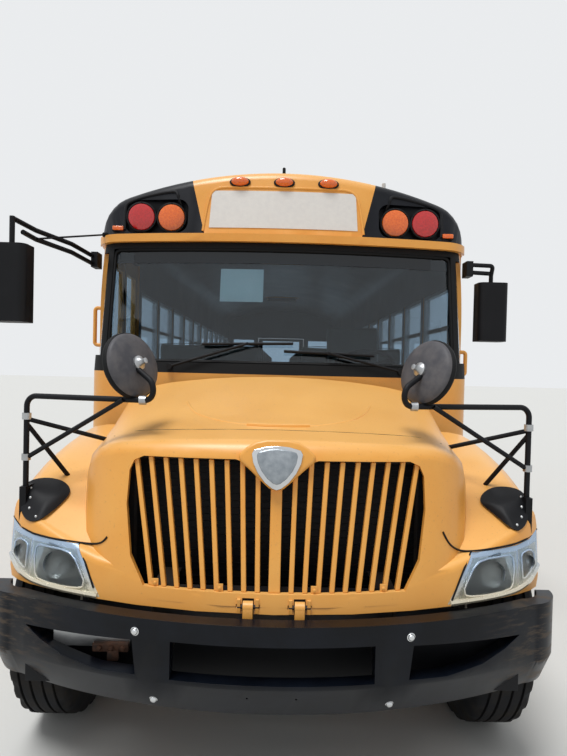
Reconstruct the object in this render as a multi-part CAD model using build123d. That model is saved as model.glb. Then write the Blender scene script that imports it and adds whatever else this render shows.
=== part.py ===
from build123d import *
import math
import os

# School bus with a front engine and a tilting nose, built as separate pieces with real joints.
# Millimetres. The bus faces -Y, its driver's side is +X, Z is up, and the floor it stands on is Z = 0.
# The origin is on that floor, on the centreline, midway between the two bumpers.
# Places along the bus are given as stations: distances behind the front bumper's foremost point.

os.makedirs("parts", exist_ok=True)

# Overall sizes
LENGTH = 10820
HALF_WIDTH = 1219
ROOF_Z = 3040
EAVE_Z = 2540
SKIRT_Z = 560
WALL = 60
FLOOR_Z = 980
FLOOR_T = 40

# Stations along the bus
HOOD_FRONT = 85
HOOD_REAR = 1440
FRONT_AXLE = 960
COWL = 1470
CORNER_END = 1900
DOOR_END = 2650
ROOF_START = 2100
REAR_AXLE = 7410
WALL_END = 10640
REAR_FACE = 10700

# Roof cross-section
ROOF_TOP_R = 3300
ROOF_CORNER_R = 280

# Side windows
WINDOW_COUNT = 11
WINDOW_PITCH = 712
WINDOW_START = 2740
WINDOW_W = 632
SILL_Z = 1740
WINDOW_TOP_Z = 2340
GLASS_T = 6

# Wheels
TYRE_R = 525
FRONT_TRACK_HALF = 1030
KINGPIN_X = 900
DUAL_IN_X = 735
DUAL_OUT_X = 1055
ARCH_R = 620

# Frame
RAIL_X = 432
RAIL_Z0, RAIL_Z1 = 640, 895
RAIL_W = 80


# Plan outline of the body's front: a shallow arc, two rounded corners and straight sides
PLAN_X, PLAN_SAG, PLAN_CORNER = 1040, 105, 215
RAKE = (0, 180, 840)
RAKE_LENGTH = math.hypot(*RAKE[1:])

# Front wall, roof hatches and the driver's window
COWL_TOP_Z = 1700
COWL_LOW_Z = 720

HATCH = 580
HATCH_STATIONS = (4500, 8300)
HATCH_FRAME_W = 40
HATCH_CURB_Z = ROOF_Z + 25
LID_T = 40
DRIVER_WINDOW = (1960, 2660)
SASH = 24
SASH_BAR = (2040, 2072)

# Floor: step-in, wheel houses and engine tunnel
STEP_IN = 640
HOUSE_IN = 540
HOUSE_HALF = 640
HOUSE_TOP = 1180
STEP_Z = (400, 690)
TUNNEL_X = 500

# Windshield, corner windows and grab handles
QUARTER_X = 1150
SCREEN_X = 1108
SCREEN_LOW, SCREEN_TOP = 1765, 2500
QUARTER = ((1500, 1800), (1850, 1800), (1850, 2480), (1500, 2480))
GRAB_Z = {-1: (1870, 2120), 1: (1725, 1880)}
GRAB_STATION = 1875

# Front cap with its drip lip and lamp pods
CAP_FRONT = 1655
CAP_OUT, CAP_CORNER_R, CAP_BROW_R = 24, 300, 85
LIP_OUT, LIP_H = 40, 50
HEADER_BACK = 1880
POD_X0, POD_X1 = 622, 1047
POD_Z0, POD_Z1 = 2606, 2836
POD_BACK = 1835
POD_ROUND = 70
LAMP_R = 90
LAMP_Z = 2717
AMBER_X, RED_X = 738, 936

# Rear wall: x from, x to, z from, z to of the door, then the fixed windows beside it
REAR_DOOR = (-500, 500, 985, 2380)
REAR_WINDOWS = ((600, 1060), (SILL_Z, WINDOW_TOP_Z))

# Entrance door: two glazed leaves hinged at the opening's front and rear edges
DOOR_Z0, DOOR_Z1 = 430, EAVE_Z - 10
DOOR_T = 40
DOOR_GAP = 5
DOOR_MID = (CORNER_END + DOOR_END) / 2
DOOR_LEAVES = [
    # name, first station, last station
    ("front", CORNER_END + DOOR_GAP, DOOR_MID - DOOR_GAP / 2),
    ("rear", DOOR_MID + DOOR_GAP / 2, DOOR_END - DOOR_GAP),
]
SIDES = (("left", 1), ("right", -1))

# Rails along the sides, in black
RUB_RAIL_Z = (1655, 1300, 960, 620)
RAIL_OUT = 18
RAIL_HALF = (34, 34, 34, 28)

# Tilting hood: bow and lean of its front face, wall, heights of the two swellings
NOSE_SAG = 395
NOSE_X = 1210
NOSE_RAKE = (0, 75, 450)
HOOD_T = 25
FACE_R = ((NOSE_X + 40) ** 2 + NOSE_SAG**2) / (2 * NOSE_SAG)
NOSE_TOP = [
    # station, centre height, drop of the crown, drop at the edge
    (100, 1395, 60, 70),
    (250, 1466, 62, 95),
    (420, 1487, 62, 130),
    (660, 1525, 62, 150),
    (960, 1590, 85, 150),
    (HOOD_REAR, 1690, 100, 130),
]
FENDER_TOP = [
    (60, 840, 4, 30),
    (200, 945, 4, 40),
    (330, 1042, 4, 50),
    (450, 1128, 6, 60),
    (560, 1205, 8, 110),
    (660, 1262, 10, 160),
    (800, 1312, 15, 165),
    (960, 1347, 20, 160),
    (1200, 1378, 25, 130),
    (HOOD_REAR, 1400, 30, 110),
]
# Half width in front and behind, where the rounding starts, plan rounding, brow radius, lowest height
NOSE = (790, 930, 0.72, 150, 75, 860)
FENDERS = (1168, 1205, 0.86, 90, 45, 700)
HALF_ACROSS = (0.25, 0.45, 0.6, 0.7, 0.79, 0.86, 0.92, 0.97, 1)
ACROSS = [-u for u in reversed(HALF_ACROSS)] + [0] + list(HALF_ACROSS)
BACK_STEPS = (0.09, 0.2, 0.34, 0.5, 0.7, 1)
BROW_STEPS = (22.5, 45, 67.5, 90)

# Grille and headlamp outlines from the front (x, z)
HALF_GRILLE = [(500, 905), (560, 1010), (588, 1200), (584, 1330), (566, 1370), (526, 1388), (160, 1392),
               (118, 1378), (44, 1324), (22, 1310)]
GRILLE = HALF_GRILLE + [(-x, z) for x, z in reversed(HALF_GRILLE)]
BARS_A_SIDE = 9
BAR_PITCH_TOP, BAR_PITCH_LOW = 61.1, 51
BAR_W, CENTRE_BAR_W = 19, 44
HEADLAMP = [(676, 842), (900, 843), (1000, 848), (1080, 870), (1150, 905), (1240, 965), (1240, 1140),
            (1176, 1100), (1140, 1066), (1091, 1042), (1010, 1028), (920, 1025), (852, 1023), (793, 1019)]
LAMP_DEPTH = 110
HEADLAMP_BACK = 520

# Running gear
SPRING_W = 76
SPRING_T = 46
FRONT_SPRING_X, REAR_SPRING_X = RAIL_X, 518
RAIL_START, RAIL_END = 175, 10722
HINGE_X, HINGE_STATION, HINGE_Z = 96, 95, 860
PIN_R = 8
KNUCKLE_R = 44
TYRE_OUTLINE = ((108, 288), (139, 400), (121, 507), (106, TYRE_R))
BARREL_HALF, BARREL_IN, BARREL_OUT = 106, 268, 287
HAND_HOLES = 5
EXHAUST_Z = 500

# Front bumper: heights, wall, plan corners (x, station), slots
BUMPER_Z = (460, 600, 828)
BUMPER_T = 62
BUMPER_A, BUMPER_B = (1040, 250), (1170, 405)
BUMPER_TUCK = 90
BUMPER_SLOT = (370, 616, 754)
BUMPER_SIDE_SLOT = [(500, 620), (650, 616), (800, 640), (900, 680), (970, 722), (515, 745)]
PLATE_HOLE_X, PLATE_Z = 88.9, 553

# Mirrors and wipers
CROSS_POST = (1090, 470)
CROSS_MIRROR = (621, 400, 1742)
CROSS_R = 136
TUBE_R = 12

MIRROR_HEADS = {
    # side: (x, station, low z, high z, width, depth)
    -1: (-1445, 1060, 1956, 2366, 200, 150),
    1: (1410, 1850, 1955, 2345, 196, 150),
}

WIPERS = [
    # pivot (x, z), blade ends (x, z) and (x, z)
    ((-680, 1738), (-484, 1880), (78, 1895)),
    ((745, 1738), (22, 1846), (578, 1832)),
]

# Lamps on the rear wall
REAR_LAMPS = [
    # x, z, radius, amber
    (936, 2690, LAMP_R, False),
    (738, 2690, LAMP_R, True),
    (985, 1480, 88, False),
    (1010, 1250, 60, True),
]

# Seats, steering wheel
SEAT_ROWS = 11
SEAT_START, SEAT_PITCH = 2960, 690
SEAT_X = (175, HALF_WIDTH - WALL)
CUSHION_Z = (1370, 1450)
BACK_TOP_Z = 1960
DRIVER_X = 620
WHEEL_CENTRE = (2190, 1765)
COLUMN_FOOT = (1690, 960)
STEER_RIM_R = 215

# Stop arm
STOP_HINGE = (1262, 2790)
STOP_Z = 1475
STOP_FLATS = 457
STOP_PLATE_X = (1250, 1260)


def at(station):
    """Y of a station."""
    return station - LENGTH / 2


def block(x0, x1, s0, s1, z0, z1):
    """Box between two corners, with its length given as stations."""
    size = Box(abs(x1 - x0), abs(s1 - s0), abs(z1 - z0))
    return Pos((x0 + x1) / 2, at((s0 + s1) / 2), (z0 + z1) / 2) * size


def point(x, station, z):
    """A point given by its station."""
    return Vector(x, at(station), z)


def rod(a, b, radius):
    """Round bar from point a to point b."""
    start, end = Vector(*a), Vector(*b)
    along = end - start
    plane = Plane(origin=start, z_dir=along)
    return extrude(plane * Circle(radius), amount=along.length)


def drum(x0, x1, station, z, radius):
    """Cylinder along X between x0 and x1."""
    start = point(min(x0, x1), station, z)
    return rod(start, start + Vector(abs(x1 - x0), 0, 0), radius)


def bent_tube(points, radius, bend):
    """Round tube along straight runs joined by arcs."""
    path = FilletPolyline(*points, radius=bend)
    start = Plane(origin=path @ 0, z_dir=path % 0)
    return sweep(start * Circle(radius), path=path)


def other_side(shape):
    """The same shape on the other side of the centreline."""
    return mirror(shape, about=Plane.YZ)


def both_sides(shape):
    return [shape, other_side(shape)]


def front_prism(corners, s0, s1):
    """Prism along Y from front-view corners (x, z)."""
    ring = [point(x, s0, z) for x, z in corners]
    return extrude(make_face(Polyline(*ring, close=True)), amount=s1 - s0, dir=(0, 1, 0))


def side_prism(corners, x0, x1):
    """Prism along X from side-view corners (station, z)."""
    ring = [Vector(x0, at(s), z) for s, z in corners]
    return extrude(make_face(Polyline(*ring, close=True)), amount=x1 - x0, dir=(1, 0, 0))


def joined(shapes):
    """One fused shape from a list."""
    total = shapes[0]
    for shape in shapes[1:]:
        total = total + shape
    return total


def save(name, shapes):
    """Writes one node. A list of shapes becomes separate solids of that node."""
    solids = [s for shape in (shapes if isinstance(shapes, list) else [shapes]) for s in shape.solids()]
    export_step(Compound(children=solids) if len(solids) > 1 else solids[0], f"parts/{name}.step")


# Roof and body cross-section


def roof_wire(station, inset, z_low, half=HALF_WIDTH, top=ROOF_Z, corner=ROOF_CORNER_R):
    """Closed cross-section of the body above z_low, inset from the outer skin."""
    corner_x = half - corner
    crown_z = top - ROOF_TOP_R
    corner_z = crown_z + math.sqrt((ROOF_TOP_R - corner) ** 2 - corner_x**2)
    crown_r, corner_r = ROOF_TOP_R - inset, corner - inset
    share = crown_r / (ROOF_TOP_R - corner)
    join_x, join_z = corner_x * share, crown_z + (corner_z - crown_z) * share
    tilt = math.atan2(corner_z - crown_z, corner_x) / 2
    mid_x = corner_x + corner_r * math.cos(tilt)
    mid_z = corner_z + corner_r * math.sin(tilt)
    side = half - inset
    p = lambda x, z: point(x, station, z)
    return Wire([
        Line(p(-side, z_low), p(side, z_low)),
        Line(p(side, z_low), p(side, corner_z)),
        ThreePointArc(p(side, corner_z), p(mid_x, mid_z), p(join_x, join_z)),
        ThreePointArc(p(join_x, join_z), p(0, top - inset), p(-join_x, join_z)),
        ThreePointArc(p(-join_x, join_z), p(-mid_x, mid_z), p(-side, corner_z)),
        Line(p(-side, corner_z), p(-side, z_low)),
    ])


def roof_solid(s0, s1, inset, z_low, **shape):
    return extrude(Face(roof_wire(s0, inset, z_low, **shape)), amount=s1 - s0, dir=(0, 1, 0))


def plan_wire(front, inset, z, back):
    """Plan outline at height z whose foremost point is at station front."""
    xa, xb = PLAN_X - 0.4 * inset, HALF_WIDTH - inset
    sa = front + inset + PLAN_SAG
    sb = front + PLAN_SAG + PLAN_CORNER
    xm, sm = xa + 0.70 * (xb - xa), sa + 0.30 * (sb - sa)
    p = lambda x, s: point(x, s, z)
    return Wire([
        ThreePointArc(p(-xa, sa), p(0, front + inset), p(xa, sa)),
        ThreePointArc(p(xa, sa), p(xm, sm), p(xb, sb)),
        Line(p(xb, sb), p(xb, back)),
        Line(p(xb, back), p(-xb, back)),
        Line(p(-xb, back), p(-xb, sb)),
        ThreePointArc(p(-xb, sb), p(-xm, sm), p(-xa, sa)),
    ])


def front_solid(front, inset, z0, z1, back, raked):
    """The space inside the body's front outline between two heights."""
    far = back + 400
    base = Face(plan_wire(front, inset, z0, far))
    if raked:
        grown = extrude(base, amount=(z1 - z0) * RAKE_LENGTH / RAKE[2], dir=RAKE)
    else:
        grown = extrude(base, amount=z1 - z0, dir=(0, 0, 1))
    return grown - block(-1500, 1500, back, far + 1500, z0 - 10, z1 + 10)


# Body


def make_roof():
    shell = roof_solid(ROOF_START, WALL_END, 0, EAVE_Z)
    shell -= roof_solid(ROOF_START - 1, WALL_END + 1, WALL, EAVE_Z - 1)
    for station in HATCH_STATIONS:
        shell -= block(-HATCH / 2, HATCH / 2, station - HATCH / 2, station + HATCH / 2, 2800, 3100)
        shell = shell + hatch_curb(station)
    return shell


def hatch_curb(station):
    outer = HATCH / 2 + 8
    inner = outer - HATCH_FRAME_W
    frame = block(-outer, outer, station - outer, station + outer, 2960, HATCH_CURB_Z)
    return frame - block(-inner, inner, station - inner, station + inner, 2900, 3200)


def make_hatch_lid(station):
    half = HATCH / 2 + 22
    lid = block(-half, half, station - half, station + half, HATCH_CURB_Z + 6, HATCH_CURB_Z + 6 + LID_T)
    return chamfer(lid.edges().group_by(Axis.Z)[-1], 18)


def make_wall(side, start):
    """Side wall of one side from its start station to the rear, with window openings and the wheel arch."""
    inner, outer = side * (HALF_WIDTH - WALL), side * HALF_WIDTH
    wall = block(inner, outer, start, WALL_END, SKIRT_Z, EAVE_Z)
    for n in range(WINDOW_COUNT):
        s0 = WINDOW_START + n * WINDOW_PITCH
        wall -= block(inner - side * 5, outer + side * 5, s0, s0 + WINDOW_W, SILL_Z, WINDOW_TOP_Z)
    wall -= drum(inner - side * 5, outer + side * 5, REAR_AXLE, TYRE_R, ARCH_R)
    if start < DOOR_END:
        wall -= block(inner - side * 5, outer + side * 5, *DRIVER_WINDOW, SILL_Z, WINDOW_TOP_Z)
        s = STOP_HINGE[1]
        wall = wall + block(outer, outer + 74, s - 60, s - 14, STOP_Z - 75, STOP_Z + 75)
    return wall


def side_openings():
    """Every side window opening as (side, first station, last station)."""
    rows = []
    for side in (-1, 1):
        for n in range(WINDOW_COUNT):
            s0 = WINDOW_START + n * WINDOW_PITCH
            rows.append((side, s0, s0 + WINDOW_W))
    return rows + [(1, *DRIVER_WINDOW)]


def make_side_glass():
    """One pane in each side window."""
    panes = []
    for side, s0, s1 in side_openings():
        middle = side * (HALF_WIDTH - WALL / 2)
        x0, x1 = middle - GLASS_T / 2, middle + GLASS_T / 2
        panes.append(block(x0, x1, s0 + SASH, s1 - SASH, SILL_Z + SASH, WINDOW_TOP_Z - SASH))
    return panes


def make_sashes():
    """Aluminium window frames, each a ring with a bar across the pane's outside."""
    frames = []
    for side, s0, s1 in side_openings():
        inner, outer = side * (HALF_WIDTH - WALL + 6), side * (HALF_WIDTH - 6)
        pane = side * (HALF_WIDTH - WALL / 2 + GLASS_T / 2)
        ring = block(inner, outer, s0, s1, SILL_Z, WINDOW_TOP_Z)
        ring -= block(inner - 99, outer + 99, s0 + SASH, s1 - SASH, SILL_Z + SASH, WINDOW_TOP_Z - SASH)
        frames.append(ring + block(pane, outer, s0 + SASH, s1 - SASH, *SASH_BAR))
    return frames


def make_floor():
    floor = block(-HALF_WIDTH + WALL, HALF_WIDTH - WALL, COWL + 130, WALL_END, FLOOR_Z - FLOOR_T, FLOOR_Z)
    floor -= block(-HALF_WIDTH, -STEP_IN, CORNER_END, DOOR_END, 0, 2000)
    floor -= front_gap()
    for side in (-1, 1):
        s0, s1 = REAR_AXLE - HOUSE_HALF, REAR_AXLE + HOUSE_HALF
        floor -= block(side * HOUSE_IN, side * HALF_WIDTH, s0, s1, 0, 2000)
    return joined([floor, *wheel_houses()])


def front_gap():
    """What the floor leaves free in front, so that it stays inside the body's front."""
    outside = block(-1400, 1400, COWL, CORNER_END, 0, 2000)
    return outside - front_solid(COWL, WALL, 100, 1900, CORNER_END + 300, False)


def wheel_houses():
    """Covers over the rear wheels, standing on the floor's cut-outs."""
    skin = 20
    covers = []
    for side in (-1, 1):
        x0, x1 = side * HOUSE_IN, side * (HALF_WIDTH - WALL)
        s0, s1 = REAR_AXLE - HOUSE_HALF, REAR_AXLE + HOUSE_HALF
        shell = block(x0, x1, s0, s1, FLOOR_Z - FLOOR_T, HOUSE_TOP)
        shell -= block(x0 + side * skin, x1 + side, s0 + skin, s1 - skin, 0, HOUSE_TOP - skin)
        covers.append(shell)
    return covers


def make_stepwell():
    """Two entrance treads and three risers below the door, open on the outside."""
    skin = 20
    s0, s1 = CORNER_END + 5, DOOR_END - 5
    depth = (HALF_WIDTH - 70 - STEP_IN) / 2
    x_out, x_mid = -(HALF_WIDTH - 70), -(HALF_WIDTH - 70) + depth
    parts = [
        block(x_out, x_mid, s0, s1, STEP_Z[0] - skin, STEP_Z[0]),
        block(x_mid - skin, x_mid, s0, s1, STEP_Z[0], STEP_Z[1]),
        block(x_mid - skin, -STEP_IN - 1, s0, s1, STEP_Z[1] - skin, STEP_Z[1]),
        block(-STEP_IN - skin - 1, -STEP_IN - 1, s0, s1, STEP_Z[1], FLOOR_Z),
        block(x_out, -STEP_IN - 1, s0, s0 + skin, STEP_Z[0] - skin, FLOOR_Z),
        block(x_out, -STEP_IN - 1, s1 - skin, s1, STEP_Z[0] - skin, FLOOR_Z),
    ]
    return joined(parts)


def make_cowl():
    """The body's front wall under the windshield, with sides that run back to the door and window."""
    shell = front_solid(COWL, 0, COWL_LOW_Z, COWL_TOP_Z, CORNER_END, False)
    shell -= front_solid(COWL, WALL, COWL_LOW_Z - 1, COWL_TOP_Z + 1, CORNER_END + 1, False)
    return shell - block(-TUNNEL_X, TUNNEL_X, COWL - 50, COWL + 200, COWL_LOW_Z - 50, FLOOR_Z - FLOOR_T)


def make_front_frame():
    """Pillars and rails round the windshield and its two corner windows."""
    shell = front_solid(COWL, 0, COWL_TOP_Z, EAVE_Z, CORNER_END, True)
    shell -= front_solid(COWL, WALL, COWL_TOP_Z - 1, EAVE_Z + 1, CORNER_END + 1, True)
    shell -= block(-SCREEN_X, SCREEN_X, COWL - 50, CORNER_END, SCREEN_LOW, SCREEN_TOP)
    for prism in both_sides(side_prism(QUARTER, QUARTER_X, 1500)):
        shell -= prism
    for side in (-1, 1):
        shell = shell + grab_handle(side)
    return shell


def grab_handle(side):
    """Bent bar on the pillar behind the body's front corner."""
    (z0, z1), out = GRAB_Z[side], HALF_WIDTH + 42
    route = [(HALF_WIDTH - 20, z0), (out, z0), (out, z1), (HALF_WIDTH - 20, z1)]
    return bent_tube([point(side * x, GRAB_STATION, z) for x, z in route], 13, 20)


def make_front_glass():
    """Windshield and the two corner panes beside it, cut from one curved sheet."""
    deep, shallow = 32, 24
    sheet = front_solid(COWL, shallow, COWL_TOP_Z, EAVE_Z, CORNER_END, True)
    sheet -= front_solid(COWL, deep, COWL_TOP_Z - 1, EAVE_Z + 1, CORNER_END + 1, True)
    middle = sheet & block(-SCREEN_X, SCREEN_X, COWL - 50, CORNER_END - 60, SCREEN_LOW, SCREEN_TOP)
    corner = sheet & side_prism(QUARTER, QUARTER_X, 1500)
    return [middle, *both_sides(corner)]


def brow_edges(cap):
    """The cap's long front edges, where its face turns up into the crown and the sides."""
    edges = []
    for edge in cap.edges():
        along = edge.tangent_at(0.5)
        high = edge.center().Z > EAVE_Z + 30 and edge.center().Y < at(ROOF_START - 60)
        if high and edge.length > 100 and abs(along.Y) < 0.9 and abs(along.Z) < 0.93:
            edges.append(edge)
    return edges


def make_cap():
    """Moulded front cap above the windshield, rounded up into the roof, with two lamp pods."""
    half = HALF_WIDTH + CAP_OUT
    crown = roof_solid(CAP_FRONT - 50, ROOF_START, 0, EAVE_Z, half=half, corner=CAP_CORNER_R)
    low, high = EAVE_Z - 20, ROOF_Z + 60
    shell = crown & front_solid(CAP_FRONT + CAP_OUT, -CAP_OUT, low, high, ROOF_START + 100, True)
    shell = shell.solids()[0]
    shell = fillet(brow_edges(shell), CAP_BROW_R)
    lip = front_solid(CAP_FRONT + CAP_OUT - LIP_OUT, -CAP_OUT, EAVE_Z, EAVE_Z + LIP_H, CORNER_END, False)
    shell = shell + lip
    shell -= roof_solid(HEADER_BACK, ROOF_START + 1, WALL, EAVE_Z - 1, top=ROOF_Z - 60)
    for side in (-1, 1):
        pod = block(side * POD_X0, side * POD_X1, CAP_FRONT - 200, POD_BACK, POD_Z0, POD_Z1)
        edges = pod.edges().filter_by(Axis.Y)
        shell -= fillet(edges, POD_ROUND)
    return shell


def make_warning_lamps(x):
    """One pair of round front warning lamps, standing on the back wall of their pods."""
    lamps = []
    for side in (-1, 1):
        a = point(side * x, POD_BACK, LAMP_Z)
        body = rod(a, a - Vector(0, 48, 0), LAMP_R + 6)
        lens = rod(a - Vector(0, 48, 0), a - Vector(0, 66, 0), LAMP_R)
        lamps.append(body + lens)
    return lamps


def make_rear_wall():
    wall = roof_solid(WALL_END, REAR_FACE, 0, SKIRT_Z)
    x0, x1, z0, z1 = REAR_DOOR
    wall -= block(x0, x1, WALL_END - 5, REAR_FACE + 5, z0, z1)
    (wx0, wx1), (wz0, wz1) = REAR_WINDOWS
    for side in (-1, 1):
        wall -= block(side * wx0, side * wx1, WALL_END - 5, REAR_FACE + 5, wz0, wz1)
    return wall - block(-TUNNEL_X, TUNNEL_X, WALL_END - 5, REAR_FACE + 5, SKIRT_Z - 5, RAIL_Z1 + 5)


def make_rear_door():
    x0, x1, z0, z1 = REAR_DOOR
    gap = 6
    leaf = block(x0 + gap, x1 - gap, WALL_END + 8, REAR_FACE, z0 + gap, z1 - gap)
    leaf -= block(x0 + 90, x1 - 90, WALL_END, REAR_FACE + 5, SILL_Z, WINDOW_TOP_Z - 20)
    leaf -= block(x0 + 90, x1 - 90, WALL_END, REAR_FACE + 5, 1150, 1560)
    return leaf


def make_rear_door_glass():
    x0, x1, _, _ = REAR_DOOR
    middle = REAR_FACE - WALL / 2
    return [
        block(x0 + 90, x1 - 90, middle - 3, middle + 3, SILL_Z, WINDOW_TOP_Z - 20),
        block(x0 + 90, x1 - 90, middle - 3, middle + 3, 1150, 1560),
    ]


def make_rear_glass():
    (wx0, wx1), (wz0, wz1) = REAR_WINDOWS
    middle = REAR_FACE - WALL / 2
    return both_sides(block(wx0, wx1, middle - 3, middle + 3, wz0, wz1))


def make_door_leaf(s0, s1):
    outer = -HALF_WIDTH + 4
    inner = outer + DOOR_T
    leaf = block(outer, inner, s0, s1, DOOR_Z0, DOOR_Z1)
    for z0, z1 in ((DOOR_Z0 + 110, 1220), (1290, DOOR_Z1 - 110)):
        leaf -= block(outer - 5, inner + 5, s0 + 55, s1 - 55, z0, z1)
    return leaf


def make_door_glass(s0, s1):
    middle = -HALF_WIDTH + 4 + DOOR_T / 2
    spans = ((DOOR_Z0 + 110, 1220), (1290, DOOR_Z1 - 110))
    return [block(middle - 3, middle + 3, s0 + 55, s1 - 55, z0, z1) for z0, z1 in spans]


def make_rub_rails():
    """Black rails along both sides, broken at the wheel arches and the entrance."""
    rails = []
    for side in (-1, 1):
        for z, half in zip(RUB_RAIL_Z, RAIL_HALF):
            start = DOOR_END + 10 if side < 0 else CORNER_END
            x0, x1 = side * (HALF_WIDTH + 0.5), side * (HALF_WIDTH + RAIL_OUT)
            spans = [(start, REAR_FACE - 20)]
            reach = ARCH_R + 8
            if abs(z - TYRE_R) < reach + half:
                low = min(abs(z - half - TYRE_R), abs(z + half - TYRE_R))
                gap = math.sqrt(reach**2 - min(low, reach) ** 2) + 4
                spans = [(start, REAR_AXLE - gap), (REAR_AXLE + gap, REAR_FACE - 20)]
            rails += [block(x0, x1, s0, s1, z - half, z + half) for s0, s1 in spans]
    return rails


# Hood: tilting nose with both front fenders


def between_rows(table, station):
    """The table's row at a station, between its own rows."""
    for low, high in zip(table, table[1:]):
        if station <= high[0] or high is table[-1]:
            t = (station - low[0]) / (high[0] - low[0])
            return [a + t * (b - a) for a, b in zip(low, high)]


def swell_wire(u, table, shape, inset):
    """Upright section of a hood volume from front to back, at the share u of its half width."""
    front_w, rear_w, rounding, corner, radius, low = shape
    v = max(0, (abs(u) - rounding) / (1 - rounding))
    dip = 1 - math.sqrt(1 - v * v)

    def x_at(s):
        return u * (front_w + (rear_w - front_w) * (s - 200) / (HOOD_REAR - 200) - inset)

    def top(s):
        _, crown, bow, edge = between_rows(table, s)
        return crown - bow * u * u - edge * dip - inset

    foot = HOOD_FRONT + inset + FACE_R - math.sqrt(FACE_R**2 - x_at(300) ** 2) + corner * dip
    face = lambda z: foot + (z - 830) * NOSE_RAKE[1] / NOSE_RAKE[2]
    brow_z = top(face(1000) + radius) - radius
    brow_s = face(brow_z)
    start = brow_s + radius
    rows = [(HOOD_REAR, low), (face(low), low), (brow_s, brow_z)]
    for degrees in BROW_STEPS:
        a = math.radians(degrees)
        rows.append((start - radius * math.cos(a), brow_z + (top(start) - brow_z) * math.sin(a)))
    back = [start + (HOOD_REAR - start) * t for t in BACK_STEPS]
    rows += [(s, top(s)) for s in back]
    return Wire.make_polygon([Vector(*point(x_at(s), s, z)) for s, z in rows], close=True)


def swell(table, shape, inset):
    """A hood volume lofted from side to side: a bowed front face, a rounded brow and a crowned top."""
    return Solid.make_loft([swell_wire(u, table, shape, inset) for u in ACROSS], ruled=True)


def nose_prism(inset):
    """The space behind the nose's curved front face, which leans back."""
    z0, height = 700, 1100
    foot = HOOD_FRONT - NOSE_RAKE[1] * (830 - z0) / NOSE_RAKE[2] + inset
    p = lambda x, s: point(x, s, z0)
    wire = Wire([
        ThreePointArc(p(-NOSE_X - 40, foot + NOSE_SAG), p(0, foot), p(NOSE_X + 40, foot + NOSE_SAG)),
        Line(p(NOSE_X + 40, foot + NOSE_SAG), p(NOSE_X + 40, 1900)),
        Line(p(NOSE_X + 40, 1900), p(-NOSE_X - 40, 1900)),
        Line(p(-NOSE_X - 40, 1900), p(-NOSE_X - 40, foot + NOSE_SAG)),
    ])
    slope = math.hypot(*NOSE_RAKE[1:]) / NOSE_RAKE[2]
    return extrude(Face(wire), amount=height * slope, dir=NOSE_RAKE)


def hood_solid(inset):
    """The hood's outer form, or a smaller one inside it: the nose between and above the two fenders."""
    return swell(NOSE_TOP, NOSE, inset) + swell(FENDER_TOP, FENDERS, inset)


def grille_prism():
    return front_prism(GRILLE, -300, 480)


def headlamp_prism(grow):
    """Front-view outline of one headlamp, pushed through the fender's front corner."""
    mid_x = sum(x for x, _ in HEADLAMP) / len(HEADLAMP)
    mid_z = sum(z for _, z in HEADLAMP) / len(HEADLAMP)
    ring = [(x + math.copysign(grow, x - mid_x), z + math.copysign(grow, z - mid_z)) for x, z in HEADLAMP]
    return front_prism(ring, -300, HEADLAMP_BACK)


def make_hood(outer):
    shell = outer - hood_solid(HOOD_T)
    shell -= block(-1300, 1300, HOOD_FRONT - 200, HOOD_REAR + 5, 600, 835)
    shell -= drum(-1300, 1300, FRONT_AXLE, TYRE_R, ARCH_R)
    shell -= grille_prism()
    lamp = headlamp_prism(1)
    shell -= lamp
    shell -= other_side(lamp)
    for side in (-1, 1):
        x = side * HINGE_X
        shell -= block(x - 22, x + 22, HINGE_STATION - 60, HINGE_STATION + 60, 830, HINGE_Z + 30)
        for lug in (x - 34, x + 34):
            plate = block(lug - 6, lug + 6, HINGE_STATION - 8, HINGE_STATION + 30, 838, HINGE_Z + 28)
            shell = shell + plate
        shell -= drum(x - 45, x + 45, HINGE_STATION, HINGE_Z, PIN_R + 0.5)
    return shell


def make_headlamps(outer):
    lamp = (outer & headlamp_prism(0)) - nose_prism(LAMP_DEPTH)
    lamp = Compound(children=[max(lamp.solids(), key=lambda s: s.volume)])
    return both_sides(lamp)


def make_grille_bars():
    """Upright bars that lean in towards the foot, behind the nose's front face."""
    band = nose_prism(14) - nose_prism(40)
    z_low, z_top = 898, 1385
    bars = []
    for n in range(-BARS_A_SIDE, BARS_A_SIDE + 1):
        half = (CENTRE_BAR_W if n == 0 else BAR_W) / 2
        shift = math.copysign(12, n) if n else 0
        x_top, x_low = n * BAR_PITCH_TOP + shift, n * BAR_PITCH_LOW + shift
        ring = [(x_low - half, z_low), (x_low + half, z_low), (x_top + half, z_top), (x_top - half, z_top)]
        bars.append(front_prism(ring, -100, 600) & band & grille_prism())
    return bars


# Frame and running gear


def hinge_bracket(side):
    """Upright lug on the first cross-member with the pin that the nose tilts on."""
    x0, x1 = side * HINGE_X - 16, side * HINGE_X + 16
    eye = drum(x0, x1, HINGE_STATION, HINGE_Z, 19)
    stem = block(x0, x1, HINGE_STATION - 19, HINGE_STATION + 19, 722, HINGE_Z)
    foot = block(x0, x1, HINGE_STATION, RAIL_START + 10, 722, 780)
    pin = drum(x0 - 24, x1 + 24, HINGE_STATION, HINGE_Z, PIN_R)
    return joined([eye, stem, foot, pin])


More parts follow.
